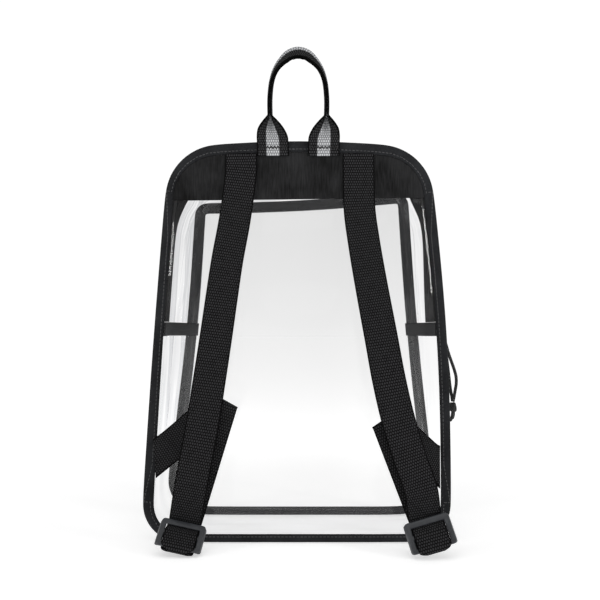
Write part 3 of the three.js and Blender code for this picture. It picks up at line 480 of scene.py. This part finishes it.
def makeWebbing(name, values):
    rubbed, selvedge = values["wear"], values["selvedge"]
    material, tree, shader = startMaterial(name, {
        "Roughness": values["roughness"], "IOR": 1.49, "Specular IOR Level": 0.07})
    place = addNode(tree, "TexCoord", {}, {})
    floats = addNode(tree, "TexBrick", {"offset": 0.5}, {
        "Vector": place.outputs["UV"], "Scale": 1.0, "Brick Width": values["across"],
        "Row Height": values["along"], "Mortar Size": values["gap"], "Mortar Smooth": 1.0, "Bias": 0.0,
        "Color1": (1, 1, 1, 1), "Color2": (0.8, 0.8, 0.8, 1), "Mortar": (0, 0, 0, 1)})
    wear = noiseNode(tree, place.outputs["UV"], rubbed["scale"], 4.0)
    worn = mathNode(tree, "MULTIPLY_ADD", wear, rubbed["swing"], rubbed["least"])
    across = addNode(tree, "SeparateXYZ", {}, {"Vector": place.outputs["UV"]})
    apart = mathNode(tree, "ABSOLUTE", across.outputs["X"])
    # Painted shade: the floats darken towards both edges of the webbing, on top of the random wear
    edge = mapRange(tree, apart, [values["half"] - s for s in selvedge["inset"]], (1, selvedge["height"]))
    wearAndEdgeShade = mathNode(tree, "MULTIPLY", worn, edge)
    height = mathNode(tree, "MULTIPLY", floats, wearAndEdgeShade)
    colour = colourRamp(tree, height, [(0.15, values["dark"]), (0.6, values["float"])])
    if "stripe" in values:
        stripe = colourRamp(tree, height, [(0.1, values["stripeShade"]), (0.55, values["stripe"])])
        inside = mapRange(tree, apart, values["stripeEdge"], (0, 1))
        both = addNode(tree, "Mix", {"data_type": "RGBA"}, {
            0: inside, 6: colour, 7: stripe})
        colour = both.outputs[2]
    bump = bumpNode(tree, floats, 0.75, 0.45)
    setInputs(tree, shader, {"Base Color": colour, "Normal": bump})
    return material


strapMaterial = makeWebbing("polypropyleneWebbing", strapWebbing)
handleMaterial = makeWebbing("stripedWebbing", handleWebbing)

# Moulded acetal: smooth, faintly waxy, with a fine moulding grain
acetal = {"colour": "24262a", "pale": "383b3e", "roughness": 0.36, "grain": 1.2, "bump": 0.25}
# Black enamel over die-cast zinc, with small worn spots
enamel = {"colour": "242526", "pale": "5b5c5e", "roughness": 0.35, "grain": 1.6, "bump": 0.2}
# Bonded polyester thread: rows of small dull glints, paler than the tape
thread = {"colour": "3a3a3b", "pale": "58585a", "roughness": 0.6, "grain": 0.9, "bump": 0.4}
# Monofilament nylon of the zipper's coil: smooth turns with a soft shine
coilNylon = {"colour": "1d1e1f", "pale": "36383a", "roughness": 0.42, "grain": 1.0, "bump": 0.2}
# Soft clouds of wear on all of them
clouds = {"scale": 120.0, "rougher": (-0.08, 0.12)}


def makeHard(name, values):
    material, tree, shader = startMaterial(name, {"Roughness": values["roughness"], "IOR": 1.48})
    place = addNode(tree, "TexCoord", {}, {})
    grain = noiseNode(tree, place.outputs["Object"], 1 / (values["grain"] * mm), 3.0)
    cloud = noiseNode(tree, place.outputs["Object"], clouds["scale"], 4.0)
    colour = colourRamp(tree, cloud, [(0.5, values["colour"]), (0.85, values["pale"])])
    rough = mapRange(tree, cloud, (0, 1), [values["roughness"] + change for change in clouds["rougher"]])
    bump = bumpNode(tree, grain, values["bump"], 0.1)
    setInputs(tree, shader, {"Base Color": colour, "Roughness": rough, "Normal": bump})
    return material


buckleMaterial = makeHard("mouldedAcetal", acetal)
sliderMaterial = makeHard("enamelledZinc", enamel)
threadMaterial = makeHard("polyesterThread", thread)
coilMaterial = makeHard("nylonMonofilament", coilNylon)


# Copies of the frame's pieces, closed up for further shaping
def softCopy(node, name, cuts=0):
    piece = newPiece(name, nodes[node].data.copy())
    pickOnly(piece)
    editAll()
    bpy.ops.mesh.remove_doubles(threshold=0.01 * mm)
    bpy.ops.mesh.tris_convert_to_quads(face_threshold=math.radians(60), shape_threshold=math.radians(80))
    if cuts:
        bpy.ops.mesh.subdivide(number_cuts=cuts)
    endEdit()
    return piece


def keepFaces(piece, test):
    pickOnly(piece)
    bpy.ops.object.mode_set(mode="EDIT")
    bpy.ops.mesh.select_mode(type="FACE")
    bpy.ops.mesh.select_all(action="DESELECT")
    endEdit()
    for face in piece.data.polygons:
        face.select = not test(face)
    bpy.ops.object.mode_set(mode="EDIT")
    bpy.ops.mesh.delete(type="FACE")
    bpy.ops.mesh.select_mode(type="VERT")
    endEdit()


# The bag's outline from behind: about |x / wide| ** power + |z / high| ** power = 1
outline = {"wide": 0.145, "high": 0.195, "power": 5}
bagCentre = Vector((bagMiddle * mm, 0, outline["high"]))


# The way straight out through that outline
def outwards(point):
    power, apart = outline["power"], point - bagCentre
    away = Vector((apart.x / outline["wide"] ** power * abs(apart.x) ** (power - 2),
                   0, apart.z / outline["high"] ** power * abs(apart.z) ** (power - 2)))
    return away.normalized() if away.length > 1e-9 else Vector((0, 0, 1))


def turnOf(point):
    return math.atan2(point.z - bagCentre.z, point.x - bagCentre.x)


print("stage: clear panels")
# The two large sheets swell softly in the middle, and not at all at their seams
sheetWave = {"height": 0.9, "spacing": 90, "columns": 170, "rows": 130, "inset": 0.1, "still": 12, "fade": 50}
# Beside the binding the back sheet stands a little proud. Its flank there has the one slope that gives the
# eye the tall lamp of its side, as a bright line along the seam
edgeRoll = {"slope": 0.396, "flank": 4.2, "fall": 26, "wander": 50, "binding": {-1: 8.2, 1: 9.2},
            "from": {-1: (0.235, 0.27), 1: (0.225, 0.25)}, "to": {-1: (0.32, 0.335), 1: (0.338, 0.345)}}


# How far a node reaches to the left and right at a height
def spanAt(mesh, z):
    found = []
    for edge in mesh.edges:
        a, b = [mesh.vertices[i].co for i in edge.vertices]
        if (a.z - z) * (b.z - z) <= 0 and abs(a.z - b.z) > 1e-7:
            found.append(lerp(a.x, b.x, (z - a.z) / (b.z - a.z)))
    return min(found), max(found)


def makeSheet(node, name, facing, roll):
    source = nodes[node]
    low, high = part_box(node)
    rows, columns = sheetWave["rows"], sheetWave["columns"]
    heights = [lerp(low.z, high.z, 0.5 - 0.5 * math.cos(math.pi * j / rows)) for j in range(rows + 1)]
    heights[0], heights[-1] = low.z + sheetWave["inset"] * mm, high.z - sheetWave["inset"] * mm
    spans = [spanAt(source.data, z) for z in heights]

    def place(i, j):
        z = heights[j]
        x = lerp(*spans[j], 0.5 - 0.5 * math.cos(math.pi * i / columns))
        outer = Vector((x, low.y if facing < 0 else high.y, z))
        spot = source.closest_point_on_mesh(outer)[1]
        side = min(x - spans[j][0], spans[j][1] - x)
        fromSeam = min(side, z - low.z, high.z - z) - sheetWave["still"] * mm
        fade = smooth(fromSeam, 0, sheetWave["fade"] * mm)
        at = Vector((x, 0.3 * facing, z)) / (sheetWave["spacing"] * mm)
        y = spot.y + noise.noise(at) * sheetWave["height"] * mm * fade
        if roll:
            which = -1 if x < bagCentre.x else 1
            wander = noise.noise(Vector((which, 1, z / (roll["wander"] * mm))))
            inside = side / mm - roll["binding"][which] - wander
            rise = min(max(inside, 0), roll["flank"]) * (1 - smooth(inside, roll["flank"], roll["fall"]))
            reach = smooth(z, *roll["from"][which]) * (1 - smooth(z, *roll["to"][which]))
            y -= roll["slope"] * rise * mm * reach
        return Vector((x, y, z)), x / mm, z / mm

    piece = laidGrid(name, columns, rows, place)
    finishPiece(piece, panelVinyl, angle=60)
    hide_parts(node)


makeSheet("back_panel", "backSheet", -1, edgeRoll)
makeSheet("front_panel", "frontSheet", 1, None)

print("stage: gussets")
# The sheet between the seams buckles in long waves that run along the bag's edge
gussetWave = {"height": 3.2, "across": 17, "along": 120, "finer": 2.3, "fineShare": 0.45,
              "seamBack": (0.04, 0.3), "seamFront": (0.74, 0.97)}
# At its corners it creases as well, in short sharp folds
cornerCrease = {"height": 3.4, "size": 26, "reach": 60, "wide": 125, "high": 350, "low": 30, "level": 0.2}


def waveGusset(piece, values, seamLow, seamHigh):
    for vertex in piece.data.vertices:
        x, y, z = vertex.co
        share = (y - seamLow) / (seamHigh - seamLow)
        fade = smooth(share, *values["seamBack"]) * (1 - smooth(share, *values["seamFront"]))
        at = Vector((x / values["along"], y / values["across"], z / values["along"])) / mm
        wave = noise.noise(at) + values["fineShare"] * noise.noise(at * values["finer"] + Vector((7, 3, 1)))
        side = abs(x - bagCentre.x) / mm - cornerCrease["wide"]
        rise = min(abs(z / mm - cornerCrease["high"]), abs(z / mm - cornerCrease["low"]))
        near = math.exp(-(side * side + rise * rise) / cornerCrease["reach"] ** 2)
        fold = abs(noise.noise(vertex.co / (cornerCrease["size"] * mm) + Vector((4, 9, 2))))
        crease = cornerCrease["level"] - fold
        push = wave * values["height"] + crease * near * cornerCrease["height"]
        vertex.co += outwards(vertex.co) * push * mm * fade


# Of a gusset's closed form only the outer skin is kept, up to the edge of its seam flanges
skin = {"flange": 0.8, "middleDepth": 0.03, "outer": 0.15}


def facesOut(face):
    if abs(face.normal.y) > skin["flange"]:
        return face.normal.y * (face.center.y - skin["middleDepth"]) < 0
    return face.normal.dot(outwards(face.center)) > skin["outer"]


# The sheet's own layout: along the bag's edge from a level up or down, and across from the back to the front
def layGusset(piece, level):
    cloth = piece.data.uv_layers.active or piece.data.uv_layers.new()
    for loop in piece.data.loops:
        x, y, z = piece.data.vertices[loop.vertex_index].co
        side = x - bagCentre.x
        cloth.data[loop.index].uv = (side + math.copysign(abs(z - level), side), y)


# An empty bag's top corners fall in a little between the zipper and the front
cornerSag = {"depth": 14, "across": 128, "height": 360, "reach": 27, "start": -28, "full": 6, "until": 26,
             "end": 92}


def cornerFall(point, values):
    side = abs(point.x - bagCentre.x) / mm - values["across"]
    rise = point.z / mm - values["height"]
    near = math.exp(-(side * side + rise * rise) / values["reach"] ** 2)
    y = point.y / mm
    inside = smooth(y, values["start"], values["full"]) * (1 - smooth(y, values["until"], values["end"]))
    return -outwards(point) * values["depth"] * mm * near * inside


def sagCorners(piece):
    for vertex in piece.data.vertices:
        vertex.co += cornerFall(vertex.co, cornerSag)


seams = (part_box("back_panel")[1].y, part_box("front_panel")[0].y)
lowerSheet = softCopy("lower_gusset", "lowerSheet", cuts=5)
keepFaces(lowerSheet, facesOut)
layGusset(lowerSheet, level=0)
waveGusset(lowerSheet, gussetWave, *seams)
finishPiece(lowerSheet, gussetVinyl)
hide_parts("lower_gusset")
upperSheet = softCopy("upper_gusset", "upperSheet", cuts=5)
keepFaces(upperSheet, facesOut)
layGusset(upperSheet, level=0.4)
waveGusset(upperSheet, gussetWave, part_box("upper_gusset")[0].y, seams[1])
sagCorners(upperSheet)
finishPiece(upperSheet, gussetVinyl)
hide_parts("upper_gusset")

print("stage: bindings, bars and yoke")
# The tape's soft unevenness, and the stitches on it, at a share of its width from its inner edge
tapeWave = {"height": 0.22, "spacing": 9}
stitch = {"length": 2.6, "wide": 0.8, "high": 0.6, "spacing": 3.8, "bevel": 0.2, "share": 0.3,
          "flat": 0.95, "window": 0.06, "search": 4, "lift": 0.05}


# The line of a binding's stitches, sorted round the bag
def ringLine(node, facing):
    body = welded(node)
    body.normal_update()
    corners = [v for v in body.verts if any(f.normal.y * facing > stitch["flat"] for f in v.link_faces)]
    inner, outer = [], []
    for v in corners:
        turn = turnOf(v.co)
        near = [w for w in corners if abs(turnOf(w.co) - turn) < stitch["window"]]
        middle = sum((w.co - bagCentre).length for w in near) / len(near)
        (inner if (v.co - bagCentre).length < middle else outer).append((turn, v.co.copy()))
    body.free()
    line = []
    for turn, point in sorted(inner, key=lambda entry: entry[0]):
        match = min(outer, key=lambda entry: (entry[1] - point).length)[1]
        line.append(point.lerp(match, stitch["share"]))
    return line


# Places at even steps along a line, each with the way it runs there
def evenly(points, spacing, closed):
    chain = points + [points[0]] if closed else points
    lengths = lengthsAlong(chain)
    count = max(int(lengths[-1] / spacing), 1)
    places, i = [], 0
    for step in range(count):
        goal = lengths[-1] * (step + 0.5) / count
        while lengths[i + 1] < goal:
            i += 1
        part = (goal - lengths[i]) / (lengths[i + 1] - lengths[i])
        places.append((chain[i].lerp(chain[i + 1], part), (chain[i + 1] - chain[i]).normalized()))
    return places


# One small form, copied to many places that each give a point, a direction and an upward side
def repeated(name, model, places):
    mesh = bpy.data.meshes.new(name)
    body = bmesh.new()
    for point, along, up in places:
        side = along.cross(up).normalized()
        lift = side.cross(along).normalized()
        turned = Matrix((along, side, lift)).transposed().to_4x4()
        start = len(body.verts)
        body.from_mesh(model)
        body.verts.ensure_lookup_table()
        bmesh.ops.transform(body, matrix=Matrix.Translation(point) @ turned, verts=body.verts[start:])
    body.to_mesh(mesh)
    body.free()
    return newPiece(name, mesh)


def smallForm(name, size, bevel):
    bpy.ops.object.select_all(action="DESELECT")
    bpy.ops.mesh.primitive_cube_add(size=1)
    form = bpy.context.active_object
    form.name = name
    form.scale = [s * mm for s in size]
    bpy.ops.object.transform_apply(location=False, rotation=False, scale=True)
    editAll()
    bpy.ops.mesh.bevel(offset=bevel * mm, segments=1, affect="EDGES")
    endEdit()
    mesh = form.data
    bpy.data.objects.remove(form)
    return mesh


stitchForm = smallForm("stitchForm", (stitch["length"], stitch["wide"], stitch["high"]), stitch["bevel"])


def makeBinding(node, name, facing):
    piece = softCopy(node, name)
    applied(piece, "SUBSURF", levels=2, render_levels=2)
    for vertex in piece.data.vertices:
        at = vertex.co / (tapeWave["spacing"] * mm)
        vertex.co.y += noise.noise(at) * tapeWave["height"] * mm
    finishPiece(piece, tapeMaterial, angle=50)
    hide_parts(node)
    line = ringLine(node, facing)
    normal = Vector((0, facing, 0))
    places = []
    for point, along in evenly(line, stitch["spacing"] * mm, True):
        spot, out = piece.closest_point_on_mesh(point + normal * stitch["search"] * mm)[1:3]
        places.append((spot + out * stitch["lift"] * mm, along, out))
    seam = repeated(name + "Stitching", stitchForm, places)
    finishPiece(seam, threadMaterial, angle=30)


makeBinding("back_binding", "backBinding", -1)
makeBinding("front_binding", "frontBinding", 1)

for side in ("left", "right"):
    bar = softCopy("seam_bar_" + side, "seamBar" + side.title(), cuts=3)
    finishPiece(bar, tapeMaterial, angle=50)
    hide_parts("seam_bar_" + side)

yokeFold = {"height": 0.5, "spacing": 30, "tall": 45}
yoke = softCopy("back_yoke", "backYoke", cuts=6)
for vertex in yoke.data.vertices:
    x, z = vertex.co.x / mm, vertex.co.z / mm
    fold = abs(noise.noise(Vector((x / yokeFold["spacing"], 2, z / yokeFold["tall"]))))
    vertex.co.y -= fold * yokeFold["height"] * mm
finishPiece(yoke, yokeMaterial, angle=50)
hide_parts("back_yoke")

print("stage: zipper")
for node, name in (("zipper_tape_back", "zipperTapeBack"), ("zipper_tape_front", "zipperTapeFront")):
    tape = softCopy(node, name, cuts=2)
    sagCorners(tape)
    finishPiece(tape, zipperMaterial, angle=50)
    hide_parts(node)

coil = {"turn": 1.9, "wide": 5.0, "thin": 1.15, "high": 1.7, "bevel": 0.35, "seat": 0.05}


# The coil as single turns, along the middle of the frame's plain strand
def makeCoil(values):
    body = welded("zipper_coil")
    middleY = sum(v.co.y for v in body.verts) / len(body.verts)
    spots = []
    for v in body.verts:
        if v.co.y > middleY:
            turn = turnOf(v.co)
            spots.append((turn if turn > -math.pi / 2 else turn + 2 * math.pi, v.co.copy()))
    body.free()
    spots.sort(key=lambda entry: entry[0])
    line = [(a[1] + b[1]) / 2 for a, b in zip(spots[::2], spots[1::2])]
    for point in line:
        point.y = middleY
    places = []
    for point, along in evenly(line, values["turn"] * mm, False):
        out = outwards(point)
        seated = point - out * values["seat"] * mm + cornerFall(point, cornerSag)
        places.append((seated, Vector((0, 1, 0)), out))
    form = smallForm("coilTurn", (values["wide"], values["thin"], values["high"]), values["bevel"])
    piece = repeated("zipperCoil", form, places)
    finishPiece(piece, coilMaterial, angle=30)
    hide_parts("zipper_coil")


makeCoil(coil)

slider = softCopy("zipper_slider", "zipperSlider")
bevelled(slider, 0.35, 2, 40)
finishPiece(slider, sliderMaterial, angle=35)
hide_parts("zipper_slider")

print("stage: shoulder straps")
webbing = {"width": 31.5, "thick": 1.7, "columns": 10}
gap, yokeThick = 0.3, 1.2
slide = {"length": 29.5, "bar": 4.2, "thick": 3.6}
barLoop = {"drop": 5, "narrowing": 0.5, "rows": 12}
layers = {"onYoke": -(gap + yokeThick + gap + webbing["thick"] / 2), "onSheet": -(gap + webbing["thick"] / 2)}
strapPath = {"frontRows": 110, "backRows": 24, "foldRows": 8, "hang": 0.04, "toFold": 0.93,
             "down": (3, 19), "bend": (0.5, 0.6, 0.55)}
strapWave = {"height": 0.35, "across": 0.8, "along": 45, "calm": (0.01, 0.05)}
# Per side: "run" holds the front run's shares of the drop, the spread and the reach
straps = {
    "left": {
        "side": -1, "top": 58.6, "topHeight": 387.9, "spread": 53.9, "reach": 47, "floorGap": 0.9,
        "leanAngle": 12.5, "pitchAngle": 47, "fold": (74.5, 144.5, 34.5, 29), "seam": (-145.2, 84.0, 93.6),
        "run": [(0.17, 0.105, 0.08), (0.29, 0.245, 0.21), (0.4, 0.345, 0.37), (0.5, 0.43, 0.55),
                (0.61, 0.53, 0.75), (0.73, 0.645, 0.93), (0.86, 0.81, 0.99)],
    },
    "right": {
        "side": 1, "top": 58.3, "topHeight": 387.9, "spread": 63, "reach": 59, "floorGap": 3,
        "leanAngle": 16.5, "pitchAngle": 25, "fold": (82, 128.5, 52, 34), "seam": (139.6, 75.5, 90.8),
        "run": [(0.155, 0.01, 0.12), (0.24, 0.065, 0.25), (0.35, 0.155, 0.47), (0.5, 0.29, 0.8),
                (0.61, 0.395, 0.96), (0.71, 0.525, 1.02), (0.81, 0.7, 1.05), (0.89, 0.86, 1.01)],
    },
}


# The ways along the slide's bars, up it and out of its face
def slideAxes(strap):
    side, roll, pitch = strap["side"], math.radians(strap["leanAngle"]), math.radians(strap["pitchAngle"])
    bars = Vector((math.cos(roll), 0, side * math.sin(roll)))
    up = Vector((-math.cos(pitch) * side * math.sin(roll), math.sin(pitch), math.cos(pitch) * math.cos(roll)))
    return bars, up, bars.cross(up)


# The webbing's way through the slide: places up and out of it, with a share of the width
def roundBars():
    clear = slide["thick"] / 2 + gap + webbing["thick"] / 2
    low = -(slide["length"] - slide["bar"]) / 2
    back = -(clear + webbing["thick"] + 2 * gap)
    middle, radius = (clear + back) / 2, (clear - back) / 2
    path = [(-low + slide["bar"], -clear, 1), (-low - slide["bar"] / 2, -clear, 1),
            (slide["bar"] / 2, clear, 1), (-slide["bar"] / 2, clear, 1)]
    for step in range(barLoop["rows"] + 1):
        turn = math.pi * step / barLoop["rows"]
        path.append((low - barLoop["drop"] * math.sin(turn), middle + radius * math.cos(turn),
                     1 - barLoop["narrowing"] * math.sin(turn) ** 3))
    return path + [(0, back, 1), (-low + slide["bar"], back, 1)]


# The strap's middle line in mm, each place with half its width as a vector
def strapStations(strap):
    side, rows = strap["side"], strapPath["backRows"]
    bars, up, face = slideAxes(strap)
    path = roundBars()
    slant = webbing["width"] / 2 * math.sin(math.radians(strap["leanAngle"]))
    lowest = min(y * up.z + z * face.z - share * slant for y, z, share in path)
    centre = Vector((side * (strap["top"] + strap["spread"]), -strap["reach"],
                     strap["floorGap"] + webbing["thick"] / 2 - lowest))
    half = webbing["width"] / 2
    stations = []

    def across(along, sign):
        return Vector((-along.z, 0, along.x)).normalized() * half * sign

    topZ = strap["topHeight"]
    drop = topZ - centre.z
    start = Vector((side * strap["top"], layers["onYoke"], topZ))
    run = [start, start - Vector((0, 0, strapPath["hang"] * drop))]
    for dropShare, spreadShare, reachShare in strap["run"]:
        run.append(Vector((side * (strap["top"] + spreadShare * strap["spread"]),
                           layers["onYoke"] - reachShare * (strap["reach"] + layers["onYoke"]),
                           topZ - dropShare * drop)))
    run.append(centre + up * path[0][0] + face * path[0][1])
    line = curveThrough(run, strapPath["frontRows"])
    for i in range(len(line) - 1):
        along = line[min(i + 1, len(line) - 1)] - line[max(i - 1, 0)]
        stations.append((line[i], across(along, 1)))
    for y, z, share in path:
        stations.append((centre + up * y + face * z, bars * half * share))
    foldX, foldZ, foldReach, foldAngle = strap["fold"]
    turnedAngle = math.radians(foldAngle)
    cut = Vector((math.cos(turnedAngle), 0, side * math.sin(turnedAngle)))
    foldAt = Vector((side * foldX, -foldReach, foldZ))
    leave = stations[-1][0]
    rising = (foldAt - leave).normalized()

    def mitred(along, line):
        flat = Vector((along.x, 0, along.z)).normalized()
        return line.normalized() * half / abs(flat.x * line.z - flat.z * line.x) * line.length

    for step in range(1, rows):
        stations.append((leave.lerp(foldAt, step / rows * strapPath["toFold"]), across(rising, -1)))
    radius = (webbing["thick"] + gap) / 2
    beyond = Vector((-cut.z, 0, cut.x))
    foldHalf = mitred(rising, cut)
    for step in range(strapPath["foldRows"] + 1):
        turn = math.pi * step / strapPath["foldRows"]
        at = foldAt + beyond * radius * math.sin(turn)
        at.y += radius * (1 - math.cos(turn))
        stations.append((at, foldHalf))
    seamX, seamZ, edgeAngle = strap["seam"]
    seamAt = Vector((seamX, layers["onSheet"], seamZ))
    behind = foldAt + Vector((0, 2 * radius, 0))
    onWay = Vector([lerp(a, b, share) for a, b, share in zip(behind, seamAt, strapPath["bend"])])
    edge = Vector((math.cos(math.radians(edgeAngle)), 0, math.sin(math.radians(edgeAngle))))
    for step in range(*strapPath["down"]):
        t = step / rows
        at = behind * (1 - t) ** 2 + onWay * 2 * t * (1 - t) + seamAt * t * t
        along = (onWay - behind) * (1 - t) + (seamAt - onWay) * t
        width = across(along, 1)
        stations.append((at, width if width.dot(cut) > 0 else -width))
    last = mitred(seamAt - behind, edge)
    stations.append((seamAt, last if last.dot(cut) > 0 else -last))
    return stations, centre


def makeStrap(which):
    strap = straps[which]
    stations, centre = strapStations(strap)
    points = [inBag(*at) for at, half in stations]
    lengths = lengthsAlong(points)
    columns = webbing["columns"]
    last = len(points) - 1

    def place(i, j):
        share = 2 * i / columns - 1
        width = stations[j][1]
        along = (points[min(j + 1, last)] - points[max(j - 1, 0)]).normalized()
        slant = width.dot(along)
        point = points[j] + width * share * mm
        at = Vector((share * strapWave["across"], lengths[j] / (strapWave["along"] * mm), strap["side"]))
        wave = noise.noise(at) * strapWave["height"] * mm
        point.y += wave * smooth(lengths[j], *strapWave["calm"])
        return point, share * (width - along * slant).length, lengths[j] / mm + share * slant

    piece = laidGrid("shoulderStrap" + which.title(), columns, len(stations) - 1, place)
    applied(piece, "SOLIDIFY", thickness=webbing["thick"] * mm, offset=0.0)
    bevelled(piece, 0.45, 2, 60)
    finishPiece(piece, strapMaterial, angle=50)
    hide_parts("shoulder_strap_" + which)
    return centre


# The slide buckle's top bar ends in a lip in front, and its rails deepen and lean out behind
slideShape = {"width": 42, "side": 4.6, "lip": 2.2, "splay": 1.3, "deepen": 1.6, "close": 0.35,
              "front": (-0.6, 1.4), "outside": (1.5, 0.5), "lipNear": (1.1, 1), "closeNear": (1, 1, 1.2)}


def shapeSlide(piece, strap, centre):
    bars, up, face = slideAxes(strap)
    origin = inBag(*centre)
    half, inner = slideShape["width"] / 2, slideShape["width"] / 2 - slideShape["side"]
    underTop = slide["length"] / 2 - slide["bar"]
    lipNear, closeNear = slideShape["lipNear"], slideShape["closeNear"]
    for vertex in piece.data.vertices:
        away = (vertex.co - origin) / mm
        x, y, z = away.dot(bars), away.dot(up), away.dot(face)
        front = smooth(z, *slideShape["front"])
        outside = smooth(abs(x), inner + slideShape["outside"][0], half - slideShape["outside"][1])
        move = Vector((0, 0, 0))
        if abs(y - underTop) < lipNear[0] and abs(x) < inner + lipNear[1]:
            move -= up * slideShape["lip"] * front
        if abs(y) < underTop + closeNear[0] and inner - closeNear[1] < abs(x) < inner + closeNear[2]:
            move -= bars * math.copysign(slideShape["close"], x) * front
        move += bars * math.copysign(slideShape["splay"], x) * outside * (1 - front)
        move -= face * slideShape["deepen"] * outside * (1 - front)
        vertex.co += move * mm


for which in straps:
    centre = makeStrap(which)
    buckle = softCopy("slide_buckle_" + which, "slideBuckle" + which.title())
    shapeSlide(buckle, straps[which], centre)
    bevelled(buckle, 0.5, 3, 35)
    finishPiece(buckle, buckleMaterial, angle=35)
    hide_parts("slide_buckle_" + which)

print("stage: carry handle")
# "run" goes up one leg: shares of the rise and of the legs' spread, the fold's angle and its roll
handle = {
    "legs": 28.5, "shift": -1.7, "rise": 94, "sewn": 15.5, "top": 401.5, "crease": 1.9, "creaseShare": 0.18,
    "setBack": 7, "crestAngle": 54, "sewnLegs": 0.98, "lean": (0.2, 0.5), "columns": 22, "rows": 190,
    "run": [(0, 0.9, 0, 0), (0.045, 0.915, 16, 0), (0.116, 0.955, 40, 0), (0.187, 0.975, 68, 0),
            (0.257, 0.99, 94, 0), (0.45, 1, 94, 0.02), (0.62, 0.955, 94, 0.12), (0.76, 0.845, 94, 0.35),
            (0.88, 0.645, 94, 0.7), (0.965, 0.38, 94, 0.93), (1, 0, 94, 1)],
}


# Where a thread lies once the webbing is folded lengthwise
def foldedPoint(values, fold, w):
    half = webbing["width"] / 2
    turn = math.radians(max(fold, 1))
    radius = max(values["crease"], half * values["creaseShare"] / turn)
    bend = radius * turn
    angle = min(abs(w) / radius, turn)
    past = max(abs(w) - bend, 0)
    x = radius * math.sin(angle) + past * math.cos(turn)
    y = -radius * (1 - math.cos(angle)) - past * math.sin(turn)
    return math.copysign(x, w), y


def makeHandle(values):
    sewnLegs = values["run"][0][1] * values["sewnLegs"]
    rows = [(-values["sewn"] / values["rise"], sewnLegs, 0, 0), *values["run"]]
    whole = []
    for sign, order in ((-1, rows), (1, rows[::-1][1:])):
        for rise, legs, fold, roll in order:
            whole.append((Vector((values["shift"] + sign * legs * values["legs"],
                                  layers["onYoke"] + values["setBack"] * math.sin(math.radians(fold)),
                                  values["top"] + rise * values["rise"])), rise, fold, roll))
    count = values["rows"]
    line = curveThrough([entry[0] for entry in whole], count)
    lengths = lengthsAlong([p * mm for p in line])
    back = Vector((0, 1, 0))

    def place(i, j):
        at = j / count * (len(whole) - 1)
        row = min(int(at), len(whole) - 2)
        rise, fold, roll = [lerp(whole[row][k], whole[row + 1][k], at - row) for k in (1, 2, 3)]
        tangent = line[min(j + 1, count)] - line[max(j - 1, 0)]
        tangent.y = 0
        tangent.normalize()
        upright = Vector((0, 0, 1 if tangent.z >= 0 else -1))
        along = upright.lerp(tangent, smooth(rise, *values["lean"])).normalized()
        outward = -back.cross(along)
        turn = math.radians(values["crestAngle"] * roll)
        deep = back * math.cos(turn) + outward * math.sin(turn)
        wide = -deep.cross(along)
        w = (2 * i / values["columns"] - 1) * webbing["width"] / 2
        x, y = foldedPoint(values, fold, w)
        point = line[j] + wide * x + deep * y
        return inBag(*point), w, lengths[j] / mm

    piece = laidGrid("carryHandle", values["columns"], count, place)
    applied(piece, "SOLIDIFY", thickness=webbing["thick"] * mm, offset=0.0)
    bevelled(piece, 0.4, 2, 60)
    finishPiece(piece, handleMaterial, angle=50)
    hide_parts("carry_handle")


makeHandle(handle)

# Zigzag tack stitching over the handle's two flat ends
tack = {"height": 394.2, "teeth": 8, "wide": 28, "rise": 2.4, "radius": 0.8, "legShare": 0.985, "proud": 0.4}
# The same thread in the webbing's own black, so that it shows over the pale stripe only
tackThread = {"colour": "0a0a0b", "pale": "1b1b1c", "roughness": 0.7, "grain": 0.9, "bump": 0.4}
tackMaterial = makeHard("blackPolyesterThread", tackThread)
for sign in (-1, 1):
    middle = handle["shift"] + sign * handle["run"][0][1] * handle["legs"] * tack["legShare"]
    zigzag = []
    for step in range(2 * tack["teeth"] + 1):
        x = middle + tack["wide"] * (step / (2 * tack["teeth"]) - 0.5)
        z = tack["height"] + tack["rise"] * (0.5 if step % 2 else -0.5)
        zigzag.append(inBag(x, layers["onYoke"] - webbing["thick"] / 2 - tack["proud"], z))
    seam = tubeAlong("handleTack" + ("Left" if sign < 0 else "Right"), zigzag, tack["radius"] * mm, 6)
    finishPiece(seam, tackMaterial, angle=30)

print("stage: done")
